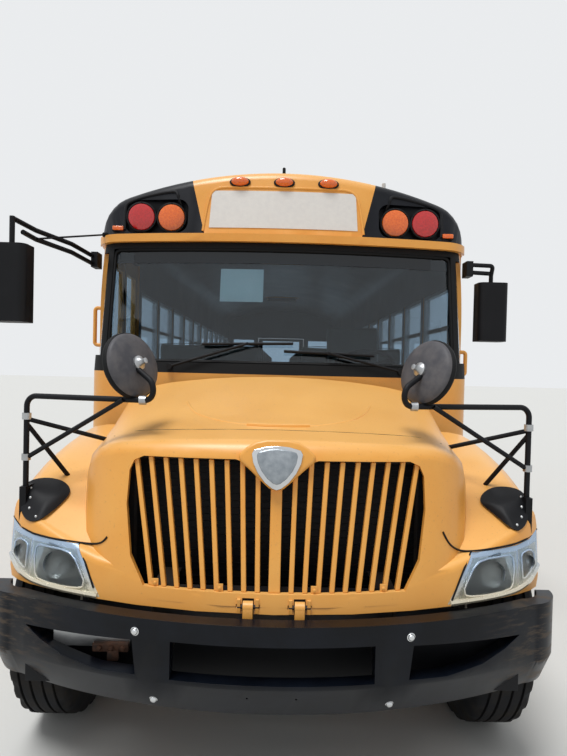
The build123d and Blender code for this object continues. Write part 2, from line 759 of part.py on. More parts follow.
def make_frame(bumper):
    """Two channel rails joined by cross-members, with the bumper's brackets and the nose's lugs."""
    parts = []
    for side in (-1, 1):
        x0, x1 = side * (RAIL_X - RAIL_W / 2), side * (RAIL_X + RAIL_W / 2)
        rail = block(x0, x1, RAIL_START, RAIL_END, RAIL_Z0, RAIL_Z1)
        rail -= block(x0 - side, x1 - side * 9, RAIL_START - 1, RAIL_END + 1, RAIL_Z0 + 9, RAIL_Z1 - 9)
        parts.append(rail)
        parts.append(block(x0, x1, 60, RAIL_START + 60, RAIL_Z0, RAIL_Z0 + 150) - bumper)
        parts.append(hinge_bracket(side))
    reach = RAIL_X + RAIL_W / 2 - 9
    for station in (RAIL_START + 5, 2600, 4200, 5800, 8300, 9500, RAIL_END - 60):
        parts.append(block(-reach, reach, station, station + 50, RAIL_Z0 + 80, RAIL_Z1 - 9))
    return joined(parts)


def make_sills():
    """Cross sills between the rails and the floor."""
    stations = [1850 + n * 712 for n in range(13)]
    stations = [s for s in stations if abs(s - REAR_AXLE) > HOUSE_HALF + 60]
    full = HALF_WIDTH - WALL - 4
    near_door = [s for s in stations if s < DOOR_END + 20]
    sills = []
    for s in stations:
        start = 60 - STEP_IN if s in near_door else -full
        sills.append(block(start, full, s, s + 60, RAIL_Z1, FLOOR_Z - FLOOR_T))
    return sills


def make_spring(x, station, half, low, high):
    """Leaf spring pack: a band between two arcs, with its hangers up to the rail."""
    x0 = x - SPRING_W / 2
    p = lambda s, z: Vector(x0, at(s), z)
    wire = Wire([
        ThreePointArc(p(station - half, high), p(station, low), p(station + half, high)),
        Line(p(station + half, high), p(station + half, high + SPRING_T / 2)),
        ThreePointArc(p(station + half, high + SPRING_T / 2), p(station, low + SPRING_T),
                      p(station - half, high + SPRING_T / 2)),
        Line(p(station - half, high + SPRING_T / 2), p(station - half, high)),
    ])
    return extrude(Face(wire), amount=SPRING_W, dir=(1, 0, 0))


def make_front_springs():
    spring = make_spring(FRONT_SPRING_X, FRONT_AXLE, 540, 548, 600)
    x0, x1 = FRONT_SPRING_X - 30, FRONT_SPRING_X + 30
    hangers = [block(x0, x1, s - 25, s + 25, 600, RAIL_Z0) for s in (435, 1485)]
    return both_sides(joined([spring, *hangers]))


def make_rear_springs():
    spring = make_spring(REAR_SPRING_X, REAR_AXLE, 720, 600, 680)
    x0 = RAIL_X + RAIL_W / 2
    stations = (REAR_AXLE - 690, REAR_AXLE + 690)
    hangers = [block(x0, REAR_SPRING_X + 30, s - 30, s + 30, 690, 790) for s in stations]
    return both_sides(joined([spring, *hangers]))


def make_front_axle():
    """Dropped beam with an upright eye at each end for the kingpins, and the spring seats."""
    z = TYRE_R
    beam = block(-700, 700, FRONT_AXLE - 42, FRONT_AXLE + 42, 420, 505)
    parts = [beam]
    for side in (-1, 1):
        ring = [(600, 420), (700, 420), (KINGPIN_X - 30, z - 52), (KINGPIN_X - 30, z + 52), (640, 505)]
        ring = [(side * x, height) for x, height in ring]
        parts.append(front_prism(ring, FRONT_AXLE - 42, FRONT_AXLE + 42))
        eye_low = point(side * KINGPIN_X, FRONT_AXLE, z - 52)
        eye_top = point(side * KINGPIN_X, FRONT_AXLE, z + 52)
        parts.append(rod(eye_low, eye_top, KNUCKLE_R))
        x0 = side * FRONT_SPRING_X
        parts.append(block(x0 - 50, x0 + 50, FRONT_AXLE - 60, FRONT_AXLE + 60, 500, 547.5))
    return joined(parts)


def make_knuckle(side):
    """Steering knuckle: two lugs on the kingpin, joined outside the beam's eye."""
    z = TYRE_R
    x = side * KINGPIN_X
    out0, out1 = side * (KINGPIN_X + KNUCKLE_R + 8), side * (KINGPIN_X + KNUCKLE_R + 36)
    parts = [block(out0, out1, FRONT_AXLE - 60, FRONT_AXLE + 60, z - 100, z + 100)]
    for z0 in (z - 98, z + 58):
        parts.append(rod(point(x, FRONT_AXLE, z0), point(x, FRONT_AXLE, z0 + 40), KNUCKLE_R))
        parts.append(block(x, out0, FRONT_AXLE - KNUCKLE_R, FRONT_AXLE + KNUCKLE_R, z0, z0 + 40))
    return joined(parts)


def tyre_at(x, station):
    """One tyre: an outline turned about its axle. Its columns are distance from the middle and radius."""
    (bead_x, bead_r), (bulge_x, bulge_r), (edge_x, edge_r), (tread_x, tread_r) = TYRE_OUTLINE
    p = lambda u, r: Vector(u, 0, r)
    wire = Wire([
        Line(p(-bead_x, bead_r), p(bead_x, bead_r)),
        ThreePointArc(p(bead_x, bead_r), p(bulge_x, bulge_r), p(edge_x, edge_r)),
        Line(p(edge_x, edge_r), p(tread_x, tread_r)),
        Line(p(tread_x, tread_r), p(-tread_x, tread_r)),
        Line(p(-tread_x, tread_r), p(-edge_x, edge_r)),
        ThreePointArc(p(-edge_x, edge_r), p(-bulge_x, bulge_r), p(-bead_x, bead_r)),
    ])
    return Pos(x, at(station), TYRE_R) * revolve(Face(wire), axis=Axis.X)


def turned(corners, x, station):
    """Solid of revolution about an axle along X, from corners (distance along X, radius)."""
    ring = [Vector(u, 0, r) for u, r in corners]
    return Pos(x, at(station), TYRE_R) * revolve(make_face(Polyline(*ring, close=True)), axis=Axis.X)


def hand_holes(x0, x1, station):
    """Round ventilation holes through a wheel's disc."""
    holes = []
    for n in range(HAND_HOLES):
        turn = math.radians(360 * n / HAND_HOLES + 90)
        centre = point(x0, station, TYRE_R) + Vector(0, 212 * math.cos(turn), 212 * math.sin(turn))
        holes.append(rod(centre, centre + Vector(x1 - x0, 0, 0), 27))
    return holes


def make_front_rim(side):
    """Front disc wheel with its drum and hub, for the side's direction."""
    corners = [(-BARREL_HALF, BARREL_IN), (-BARREL_HALF, BARREL_OUT), (BARREL_HALF, BARREL_OUT),
               (BARREL_HALF, BARREL_IN + 6), (78, BARREL_IN - 2), (96, 175), (96, 105), (150, 98), (162, 60),
               (162, 0), (-48, 0), (-48, 195), (50, 200), (62, 175), (50, BARREL_IN)]
    ring = [(side * u, r) for u, r in corners]
    rim = turned(ring, side * FRONT_TRACK_HALF, FRONT_AXLE)
    x0, x1 = side * (FRONT_TRACK_HALF + 30), side * (FRONT_TRACK_HALF + 130)
    for hole in hand_holes(x0, x1, FRONT_AXLE):
        rim -= hole
    return rim


def make_rear_rims(side):
    """Both rims of a twin wheel, their discs back to back, with the drum and hub."""
    gap = (DUAL_OUT_X - DUAL_IN_X) / 2
    far = gap + BARREL_HALF
    near = gap - BARREL_HALF
    corners = [(-far, BARREL_IN), (-far, BARREL_OUT), (-near, BARREL_OUT), (-near, BARREL_IN), (-13, 240),
               (-13, 200), (13, 200), (13, 240), (near, BARREL_IN), (near, BARREL_OUT), (far, BARREL_OUT),
               (far, BARREL_IN), (near + 18, BARREL_IN - 6), (34, 232), (30, 120), (150, 112), (156, 70),
               (156, 0), (-270, 0), (-270, 195), (-40, 195), (-34, 232), (-near - 18, BARREL_IN - 6)]
    ring = [(side * u, r) for u, r in corners]
    rim = turned(ring, side * (DUAL_IN_X + gap), REAR_AXLE)
    for hole in hand_holes(side * (DUAL_IN_X + gap - 40), side * (DUAL_IN_X + gap + 60), REAR_AXLE):
        rim -= hole
    return rim


def make_rear_axle():
    """Axle tube with the differential's housing, its nose and the spring seats."""
    end = DUAL_IN_X + (DUAL_OUT_X - DUAL_IN_X) / 2 - 270 - 6
    bowl = turned([(-170, 0), (-110, 170), (-40, 215), (40, 215), (110, 170), (170, 0)], 0, REAR_AXLE)
    nose = rod(point(0, REAR_AXLE - 300, TYRE_R), point(0, REAR_AXLE, TYRE_R), 95)
    parts = [drum(-end, end, REAR_AXLE, TYRE_R, 62), bowl, nose]
    for side in (-1, 1):
        x0 = side * REAR_SPRING_X
        parts.append(block(x0 - 45, x0 + 45, REAR_AXLE - 70, REAR_AXLE + 70, TYRE_R, 599.5))
    return joined(parts)


def make_driveline():
    """Propeller shaft from the gearbox to the rear axle's nose."""
    return rod(point(0, 2262, 640), point(0, REAR_AXLE - 302, TYRE_R + 5), 45)


def make_engine():
    """Engine and gearbox as plain blocks at their real place."""
    return block(-330, 330, 540, 1400, 690, 1390) + block(-210, 210, 1390, 2260, 560, 880)


def make_radiator():
    """Cooler pack and its surround behind the grille."""
    core = block(-380, 380, 400, 480, 700, 1330)
    return core + block(-600, 600, 400, 440, RAIL_Z1 + 5, 1370)


def make_tank():
    """Fuel tank hung outside the right rail."""
    tank = block(-1120, -RAIL_X - RAIL_W / 2 - 2, 3300, 4700, 470, 870)
    return fillet(tank.edges().filter_by(Axis.Y), 60)


def make_exhaust():
    """Silencer with the pipe that leaves the left side ahead of the rear wheels."""
    route = [(300, 1500), (300, 2500), (720, 3100), (720, 6250), (1190, 6560)]
    pipe = bent_tube([point(x, s, EXHAUST_Z) for x, s in route], 48, 200)
    return pipe + rod(point(720, 4300, EXHAUST_Z), point(720, 5400, EXHAUST_Z), 125)


# Bumpers


def bumper_wire(z):
    """Plan of the front bumper at one height: a shallow bow with ends that turn back."""
    (xa, sa), (xb, sb), t = BUMPER_A, BUMPER_B, BUMPER_T
    a, b = (xa, sa), (xb, sb)
    m = (xa + 0.72 * (xb - xa), sa + 0.34 * (sb - sa))
    ia, ib = (xa - 0.45 * t, sa + 0.9 * t), (xb - t, sb)
    im = (ia[0] + 0.72 * (ib[0] - ia[0]), ia[1] + 0.34 * (ib[1] - ia[1]))
    p = lambda xs, side: point(side * xs[0], xs[1], z)
    return Wire([
        ThreePointArc(p(a, -1), point(0, 0, z), p(a, 1)),
        ThreePointArc(p(a, 1), p(m, 1), p(b, 1)),
        Line(p(b, 1), p(ib, 1)),
        ThreePointArc(p(ib, 1), p(im, 1), p(ia, 1)),
        ThreePointArc(p(ia, 1), point(0, t, z), p(ia, -1)),
        ThreePointArc(p(ia, -1), p(im, -1), p(ib, -1)),
        Line(p(ib, -1), p(b, -1)),
        ThreePointArc(p(b, -1), p(m, -1), p(a, -1)),
    ])


def make_front_bumper():
    """Bowed bumper with a wide slot and two tapering ones, its lower face tucked under."""
    low, bend, top = BUMPER_Z
    upper = extrude(Face(bumper_wire(bend)), amount=top - bend, dir=(0, 0, 1))
    drop = math.hypot(BUMPER_TUCK, bend - low)
    lower = extrude(Face(bumper_wire(bend)), amount=drop, dir=(0, BUMPER_TUCK, low - bend))
    slot_x, slot_low, slot_top = BUMPER_SLOT
    bumper = upper + lower - block(-slot_x, slot_x, -100, 300, slot_low, slot_top)
    for side in (-1, 1):
        bumper -= front_prism([(side * x, z) for x, z in BUMPER_SIDE_SLOT], -100, 600)
    for side in (-1, 1):
        bumper -= rod(point(side * PLATE_HOLE_X, -50, PLATE_Z), point(side * PLATE_HOLE_X, 250, PLATE_Z), 4)
    return bumper - block(-1400, 1400, BUMPER_B[1], 1200, 400, 900)


def make_rear_bumper():
    ends = block(-1205, 1205, RAIL_END, LENGTH, 480, 760)
    hollow = block(-1195, 1195, RAIL_END - 1, LENGTH - 12, 490, 750)
    posts = [block(x - 40, x + 40, RAIL_END, LENGTH - 12, RAIL_Z0, 750) for x in (-RAIL_X, RAIL_X)]
    return joined([ends - hollow, *posts])


# Mirrors, arms and roof fittings


def make_cross_mirror_set(side, outer):
    """Round mirror with its bent arm and stays, standing on the fender's outer form."""
    return joined([cross_arm(side), cross_head(side)]) - outer


def cross_arm(side):
    """Bent tube on one fender that holds a round mirror in front of the nose, with three stays."""
    px, ps = CROSS_POST
    mx, ms, mz = CROSS_MIRROR
    top = 1600
    p = lambda x, s, z: point(side * x, s, z)
    route = [p(px, ps, 1130), p(px, ps, top), p(mx - 90, ms - 60, top), p(mx - 130, ms - 100, top + 60)]
    hook = bent_tube([*route, p(mx - 10, ms - 12, mz)], TUBE_R, 45)
    stays = [
        rod(p(px, ps, 1330), p(mx + 20, ms - 50, top), 10),
        rod(p(px, ps, 1500), p(790, 660, 1390), 10),
        rod(p(px, ps, 1480), p(950, 640, 1200), 10),
    ]
    plate = block(side * (px - 14), side * (px + 14), ps - 30, ps + 60, 1030, 1210)
    return joined([hook, *stays, plate])


def cross_head(side):
    """Domed round mirror head, its glass facing back, outwards and down."""
    mx, ms, mz = CROSS_MIRROR
    centre = point(side * mx, ms, mz)
    facing = Vector(side * 0.824, 0.497, -0.272)
    plane = Plane(origin=centre, z_dir=facing)
    dome = plane * Pos(0, 0, 20) * Circle(CROSS_R)
    return extrude(dome, amount=-40, taper=14)


def make_rear_view_mirror(side):
    """Tall mirror head on its bracket and tubes."""
    return joined([mirror_arm(side), mirror_head(side)])


def mirror_head(side):
    x, s, z0, z1, width, depth = MIRROR_HEADS[side]
    head = block(x - width / 2, x + width / 2, s - depth / 2, s + depth / 2, z0, z1)
    head = fillet(head.edges().filter_by(Axis.Z), 38)
    return head


def mirror_arm(side):
    """Bracket on the corner pillar with its pair of tubes out to the mirror head."""
    x, s, _, z1, _, _ = MIRROR_HEADS[side]
    if side < 0:
        root = (-1228, 1830)
        runs = []
        for z in (2400, 2450):
            runs.append([(-1250, 1800, z), (-1290, 1500, z + 20), (-1400, 1250, z + 40), (x, s, z + 60)])
        runs[0][3] = (x + 30, s + 60, 2450)
    else:
        root = (1228, 1830)
        runs = [[(1250, 1800, 2460), (x, s - 30, 2460), (x, s, 2400)]]
        runs.append([(1250, 1800, 2410), (x - 20, s - 20, 2410)])
    bracket = block(side * 1219.5, side * 1262, root[1] - 60, root[1] + 40, 2380, 2480)
    parts = [bracket]
    for run in runs:
        points = [point(*place) for place in run]
        parts.append(bent_tube(points, 14, 22) if len(points) > 2 else rod(points[0], points[1], 14))
    parts.append(rod(point(x, s, z1 + 1), point(x, s, 2520 if side < 0 else 2410), 14))
    return joined(parts)


def on_screen(x, z, off):
    """A point standing off the windshield's outer face by a distance."""
    sag = PLAN_SAG * (x / PLAN_X) ** 2
    return point(x, COWL + sag + (z - COWL_TOP_Z) * RAKE[1] / RAKE[2] - off, z)


def make_wipers(frame):
    """Wiper arms and blades, their pivots standing on the frame's lower rail."""
    wipers = []
    for pivot, blade_a, blade_b in WIPERS:
        middle = ((blade_a[0] + blade_b[0]) / 2, (blade_a[1] + blade_b[1]) / 2)
        cap = rod(on_screen(*pivot, -10), on_screen(*pivot, 40), 18)
        arm = rod(on_screen(*pivot, 32), on_screen(*middle, 26), 8)
        blade = rod(on_screen(*blade_a, 14), on_screen(*blade_b, 14), 9)
        post = rod(on_screen(*middle, 8), on_screen(*middle, 34), 10)
        wipers.append(joined([cap, arm, blade, post]) - frame)
    return wipers


# Lamps


def make_lamps(amber):
    """All lamps of one colour on the body: warning lamps, tail lamps and the small markers on the roof."""
    lamps = make_warning_lamps(AMBER_X if amber else RED_X)
    for x, z, radius, is_amber in REAR_LAMPS:
        if is_amber == amber:
            for side in (-1, 1):
                start = point(side * x, REAR_FACE, z)
                lamps.append(rod(start, start + Vector(0, 45, 0), radius))
    return lamps


# Inside


def make_passenger_seats(side):
    """Benches on one side: cushion and back on a leg at the aisle, their far ends on the wall."""
    seats = []
    x0, x1 = side * SEAT_X[0], side * SEAT_X[1]
    for row in range(SEAT_ROWS):
        s0 = SEAT_START + row * SEAT_PITCH
        cushion = block(x0, x1, s0, s0 + 400, *CUSHION_Z)
        back = block(x0, x1, s0 + 390, s0 + 470, CUSHION_Z[0] - 60, BACK_TOP_Z)
        leg = block(x0 + side * 25, x0 + side * 50, s0 + 60, s0 + 430, FLOOR_Z, CUSHION_Z[0] + 5)
        seats.append(joined([cushion, back, leg]))
    return seats


def column_direction():
    rise = Vector(0, WHEEL_CENTRE[0] - COLUMN_FOOT[0], WHEEL_CENTRE[1] - COLUMN_FOOT[1])
    return rise.normalized()


def make_driver_seat():
    s = 2440
    cushion = block(DRIVER_X - 260, DRIVER_X + 260, s, s + 440, 1400, 1500)
    ring = ((s + 400, 1440), (s + 500, 1440), (s + 560, 2140), (s + 480, 2140))
    back = side_prism(ring, DRIVER_X - 250, DRIVER_X + 250)
    base = block(DRIVER_X - 180, DRIVER_X + 180, s + 60, s + 380, FLOOR_Z, 1410)
    return joined([cushion, back, base])


def make_dashboard():
    """Instrument panel across the body's front, with the driver's binnacle and the steering column."""
    panel = front_solid(COWL, WALL, 1330, 1680, 1860, False)
    binnacle = block(DRIVER_X - 230, DRIVER_X + 230, 1850, 2050, 1330, 1560)
    centre = point(DRIVER_X, *WHEEL_CENTRE)
    tip = centre - column_direction() * 42
    column = rod(point(DRIVER_X, *COLUMN_FOOT), tip, 38) - block(0, 1000, 1500, 1900, 800, FLOOR_Z)
    return joined([panel, binnacle, column, rod(tip, tip + column_direction() * 14, 14)])


def make_steering_wheel():
    centre = point(DRIVER_X, *WHEEL_CENTRE)
    direction = column_direction()
    plane = Plane(origin=centre, x_dir=(1, 0, 0), z_dir=direction)
    rim = plane * Torus(STEER_RIM_R, 16)
    hub = plane * Pos(0, 0, -12) * Cylinder(52, 30)
    spokes = []
    for turn in (90, 210, 330):
        spokes.append(plane * Rot(0, 0, turn) * Pos(STEER_RIM_R / 2, 0, -6) * Box(STEER_RIM_R - 10, 34, 14))
    return joined([rim, hub, *spokes])


# Stop arm: blank eight-sided plate that lies against the left side and swings out on an upright hinge


def make_stop_arm():
    x0, x1 = STOP_PLATE_X
    x, s = STOP_HINGE
    centre = s + 60 + STOP_FLATS / 2
    corner_r = STOP_FLATS / 2 / math.cos(math.pi / 8)
    turns = [math.pi / 8 + n * math.pi / 4 for n in range(8)]
    ring = [(centre + corner_r * math.cos(t), STOP_Z + corner_r * math.sin(t)) for t in turns]
    plate = side_prism(ring, x0, x1)
    arms = [block(x0, x1, s, centre - 100, z - 14, z + 14) for z in (STOP_Z - 50, STOP_Z + 50)]
    barrel = rod(point(x, s, STOP_Z - 72), point(x, s, STOP_Z + 72), 9)
    return joined([plate, *arms, barrel])


def save_all():
    outer = hood_solid(0)
    bumper = make_front_bumper()
    front_frame = make_front_frame()
    save("hood", make_hood(outer))
    save("headlamps", make_headlamps(outer))
    save("grille_bars", make_grille_bars())
    save("crossview_mirrors", [make_cross_mirror_set(side, outer) for side in (-1, 1)])
    save("roof", make_roof())
    for name, station in zip(("front", "rear"), HATCH_STATIONS):
        save(f"roof_hatch_{name}", make_hatch_lid(station))
    save("front_cap", make_cap())
    save("cowl", make_cowl())
    save("windshield_frame", front_frame)
    save("wall_left", make_wall(1, CORNER_END))
    save("wall_right", make_wall(-1, DOOR_END))
    save("rear_wall", make_rear_wall())
    save("window_frames", make_sashes())
    save("body_glass", make_side_glass() + make_front_glass() + make_rear_glass())
    save("floor", make_floor())
    save("stepwell", make_stepwell())
    save("rub_rails", make_rub_rails())
    save("red_lamps", make_lamps(False))
    save("amber_lamps", make_lamps(True))
    save("wipers", make_wipers(front_frame))
    save("rear_view_mirrors", [make_rear_view_mirror(side) for side in (-1, 1)])
    save("dashboard", make_dashboard())
    save("steering_wheel", make_steering_wheel())
    save("driver_seat", make_driver_seat())
    for word, side in SIDES:
        save(f"passenger_seats_{word}", make_passenger_seats(side))
    save("rear_door", make_rear_door())
    save("rear_door_glass", make_rear_door_glass())
    for name, s0, s1 in DOOR_LEAVES:
        save(f"entrance_door_{name}", make_door_leaf(s0, s1))
        save(f"entrance_door_{name}_glass", make_door_glass(s0, s1))
    save("stop_arm", make_stop_arm())
    save("frame", make_frame(bumper))
    save("floor_sills", make_sills())
    save("leaf_springs", make_front_springs() + make_rear_springs())
    save("front_axle", make_front_axle())
    save("rear_axle", make_rear_axle() + make_driveline())
    save("engine", [make_engine(), make_radiator()])
    save("fuel_tank", make_tank())
    save("exhaust", make_exhaust())
    save("front_bumper", bumper)
    save("rear_bumper", make_rear_bumper())
    for word, side in SIDES:
        save(f"knuckle_{word}", make_knuckle(side))
        save(f"tyre_front_{word}", tyre_at(side * FRONT_TRACK_HALF, FRONT_AXLE))
        save(f"rim_front_{word}", make_front_rim(side))
        pair = [tyre_at(side * x, REAR_AXLE) for x in (DUAL_IN_X, DUAL_OUT_X)]
        save(f"tyres_rear_{word}", pair)
        save(f"rims_rear_{word}", make_rear_rims(side))


if __name__ == "__main__":
    save_all()
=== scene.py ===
import math
import bpy
from mathutils import Matrix, Vector


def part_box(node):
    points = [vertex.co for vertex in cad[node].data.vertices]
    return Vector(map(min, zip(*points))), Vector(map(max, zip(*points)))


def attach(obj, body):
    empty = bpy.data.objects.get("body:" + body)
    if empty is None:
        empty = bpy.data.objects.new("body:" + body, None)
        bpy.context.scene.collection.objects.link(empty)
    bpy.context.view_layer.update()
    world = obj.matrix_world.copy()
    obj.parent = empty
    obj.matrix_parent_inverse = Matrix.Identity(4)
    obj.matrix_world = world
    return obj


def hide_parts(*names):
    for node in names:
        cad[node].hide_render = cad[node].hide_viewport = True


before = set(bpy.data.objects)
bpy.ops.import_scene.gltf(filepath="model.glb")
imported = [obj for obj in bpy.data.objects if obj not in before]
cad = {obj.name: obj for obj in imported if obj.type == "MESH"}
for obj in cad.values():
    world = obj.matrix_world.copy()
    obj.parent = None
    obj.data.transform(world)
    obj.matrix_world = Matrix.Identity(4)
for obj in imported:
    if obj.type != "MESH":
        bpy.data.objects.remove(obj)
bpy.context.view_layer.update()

# The photograph's camera, worked out from the body's width and the lamps
PHOTO_W, PHOTO_H = 567, 756
FOCAL_PX = 568.0
SENSOR_MM = 36.0
CAMERA_AT = Vector((0.004, -7.402, 1.751))
YAW, PITCH, ROLL = math.radians(-0.32), math.radians(-1.12), math.radians(1.38)

# Places shared with the solids, in metres
FRONT_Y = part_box("front_bumper")[0].y
BODY_X = 1.219
EAVE_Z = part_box("roof")[0].z
REAR_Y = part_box("rear_wall")[1].y
AXLE_S = {"front": 0.960, "rear": 7.410}
AXLE_Z = 0.525

SIDES = (-1, 1)
SIDE_WORDS = {1: "left", -1: "right"}
ORIGIN = Vector((0, 0, 0))
ALONG_X, ALONG_Y, ALONG_Z = Vector((1, 0, 0)), Vector((0, 1, 0)), Vector((0, 0, 1))
HALF_TURN = Matrix.Rotation(math.pi, 4, "Z")
SMOOTH_DEGREES = 40


def at(station):
    """Y of a distance behind the front bumper's foremost point."""
    return FRONT_Y + station


# Shader helpers


def srgb(text):
    """An sRGB hex colour as linear RGBA."""
    parts = [int(text[i:i + 2], 16) / 255 for i in (1, 3, 5)]
    return tuple(c / 12.92 if c <= 0.04045 else ((c + 0.055) / 1.055) ** 2.4 for c in parts) + (1.0,)


def put(tree, kind, values=(), links=(), stops=(), **settings):
    """Adds one node with its settings, socket values, links and a ramp's stops.

    A link comes from a socket or a node, and goes to the first input where none is named. A stop is a
    position with a hex colour or a grey level.
    """
    node = tree.nodes.new(kind)
    for key, value in settings.items():
        setattr(node, key, value)
    for key, value in dict(values).items():
        node.inputs[key].default_value = value
    for key, source in dict(links if isinstance(links, (dict, tuple)) else {0: links}).items():
        if isinstance(source, bpy.types.Node):
            source = next(socket for socket in source.outputs if socket.enabled)
        tree.links.new(source, node.inputs[key])
    for n, (position, level) in enumerate(stops):
        stop = node.color_ramp.elements[n]
        stop.position = position
        stop.color = srgb(level) if isinstance(level, str) else (level, level, level, 1.0)
    return node


def start_material(name):
    """An empty material, its tree and the Object coordinates for its patterns."""
    material = bpy.data.materials.new(name)
    material.use_nodes = True
    tree = material.node_tree
    tree.nodes.clear()
    return material, tree, put(tree, "ShaderNodeTexCoord").outputs["Object"]


def surfaced(material, values, links=()):
    """Ends a material with its shader's uniform values and patterns."""
    tree = material.node_tree
    shader = put(tree, "ShaderNodeBsdfPrincipled", values, links)
    put(tree, "ShaderNodeOutputMaterial", links=shader)
    return material


# Specular level of the dark finishes, low so that the sky doesn't turn them grey
MATT = 0.22
RAMP, NOISE, MIX = "ShaderNodeValToRGB", "ShaderNodeTexNoise", "ShaderNodeMix"
MATHS, RANGE, BUMP = "ShaderNodeMath", "ShaderNodeMapRange", "ShaderNodeBump"
PARTS, GEOMETRY = "ShaderNodeSeparateXYZ", "ShaderNodeNewGeometry"


def coated(name, base, second, patch_m, rough, more_rough=0.1, grain_m=0.0, grain=0.0, metallic=0.0,
           specular=0.5):
    """A finish with slow colour patches, uneven gloss and, where it has one, a fine grain in relief.

    Grains that are finer in life are drawn 1 to 4 mm apart, so that they show.
    """
    material, tree, place = start_material(name)
    patches = put(tree, NOISE, {"Scale": 1 / patch_m, "Detail": 6.0, "Roughness": 0.6}, place)
    links = {
        "Base Color": put(tree, RAMP, links=patches, stops=((0.38, base), (0.66, second))),
        "Roughness": put(tree, RAMP, links=patches, stops=((0.3, rough), (0.75, rough + more_rough))),
    }
    if grain:
        fine = put(tree, NOISE, {"Scale": 1 / grain_m, "Detail": 2.0}, place)
        links["Normal"] = put(tree, BUMP, {"Strength": grain, "Distance": grain_m / 4}, {"Height": fine})
    return surfaced(material, {"Metallic": metallic, "Specular IOR Level": specular}, links)


# Moves the cabin's middle to the origin and shortens its length; faces turned in by this much are lining
CABIN_SHAPE = {"Location": (0, 0, -1.8), "Scale": (0.82, 0.19, 1.0)}
FACES_IN = -0.52


def cabin_side(tree, place, patches, outside):
    """Dark grey lining colour, darker than the real pale lining as painted shade, where a surface faces the
    cabin's middle, the given colour elsewhere.
    """
    shifted = put(tree, "ShaderNodeMapping", CABIN_SHAPE, place)
    facing = put(tree, GEOMETRY).outputs["Normal"]
    along = put(tree, "ShaderNodeVectorMath", links={0: shifted, 1: facing}, operation="DOT_PRODUCT")
    inner = put(tree, MATHS, {1: FACES_IN}, {0: along.outputs["Value"]}, operation="LESS_THAN")
    # Lining: a grey darkened into painted shade of the cabin's inside
    shaded_lining = put(tree, RAMP, links=patches, stops=((0.35, "#2C343E"), (0.7, "#353E48")))
    return put(tree, MIX, links={"Factor": inner, "A": outside, "B": shaded_lining}, data_type="RGBA")


# Polyurethane enamel, sprayed: soft gloss that the sun has dulled; what faces up is painted paler, partly
# sun-fading and partly painted sunlight
def bus_yellow(name, inside=False):
    material, tree, place = start_material(name)
    patches = put(tree, NOISE, {"Scale": 2.2, "Detail": 7.0, "Roughness": 0.62}, place)
    base = put(tree, RAMP, links=patches, stops=((0.35, "#E29A3C"), (0.7, "#E9A84E")))
    # Faces turned up are mixed towards a pale yellow: painted sunlight along with sun-fading
    up = put(tree, PARTS, links=put(tree, GEOMETRY).outputs["Normal"]).outputs["Z"]
    lit = put(tree, RANGE, {"From Min": 0.45, "From Max": 0.98, "To Max": 0.55}, up)
    faded_and_sunlit = put(tree, MIX, {"B": srgb("#F0BE74")}, {"Factor": lit, "A": base}, data_type="RGBA")
    specks = put(tree, NOISE, {"Scale": 95.0, "Detail": 3.0}, place)
    dust = put(tree, RANGE, {"From Min": 0.62, "From Max": 0.8, "To Max": 0.35}, specks)
    height = put(tree, PARTS, links=place).outputs["Z"]
    low = put(tree, RANGE, {"From Min": 1.05, "From Max": 0.5, "To Max": 0.5}, height)
    grime = put(tree, MATHS, links={0: low, 1: patches}, operation="MULTIPLY")
    dirt = put(tree, MATHS, links={0: grime, 1: dust}, operation="MAXIMUM")
    colour = put(tree, MIX, {"B": srgb("#8A6A45")}, {"Factor": dirt, "A": faded_and_sunlit}, data_type="RGBA")
    if inside:
        colour = cabin_side(tree, place, patches, colour)
    gloss = put(tree, RAMP, links=patches, stops=((0.3, 0.34), (0.75, 0.50)))
    peel = put(tree, NOISE, {"Scale": 260.0, "Detail": 1.0}, place)
    bump = put(tree, BUMP, {"Strength": 0.05, "Distance": 0.001}, {"Height": peel})
    return surfaced(material, {"Coat Weight": 0.25, "Coat Roughness": 0.25},
                    {"Base Color": colour, "Roughness": gloss, "Normal": bump})


# Sheet glass: clear, smooth, with a faint blue-grey tint
def sheet_glass():
    material, tree, place = start_material("tinted_sheet_glass")
    film = put(tree, NOISE, {"Scale": 3.0, "Detail": 5.0}, place)
    gloss = put(tree, RAMP, links=film, stops=((0.45, 0.0), (0.8, 0.06)))
    return surfaced(material, {"Base Color": srgb("#B4C5D1"), "Transmission Weight": 1.0, "IOR": 1.45},
                    {"Roughness": gloss})


# Hard-coated polycarbonate over the headlamps, hazed by age
def clear_cover():
    material, tree, place = start_material("clear_lamp_cover")
    haze = put(tree, NOISE, {"Scale": 14.0, "Detail": 4.0}, place)
    gloss = put(tree, RAMP, links=haze, stops=((0.35, 0.34), (0.7, 0.62)))
    return surfaced(material, {"Base Color": srgb("#F1F2EE"), "Transmission Weight": 1.0, "IOR": 1.3},
                    {"Roughness": gloss})


# Moulded polycarbonate lens: coloured through, its square pattern in relief drawn 12 mm coarse to show
def lens(name, colour, glow):
    material, tree, place = start_material(name)
    cells = put(tree, "ShaderNodeTexVoronoi", {"Scale": 1 / 0.012}, place, distance="CHEBYCHEV")
    colours = put(tree, RAMP, links=cells, stops=((0.0, colour), (0.75, glow)))
    bump = put(tree, BUMP, {"Strength": 0.16, "Distance": 0.001}, {"Height": cells})
    return surfaced(material, {"Roughness": 0.12, "Coat Weight": 0.8, "Coat Roughness": 0.05},
                    {"Base Color": colours, "Normal": bump})
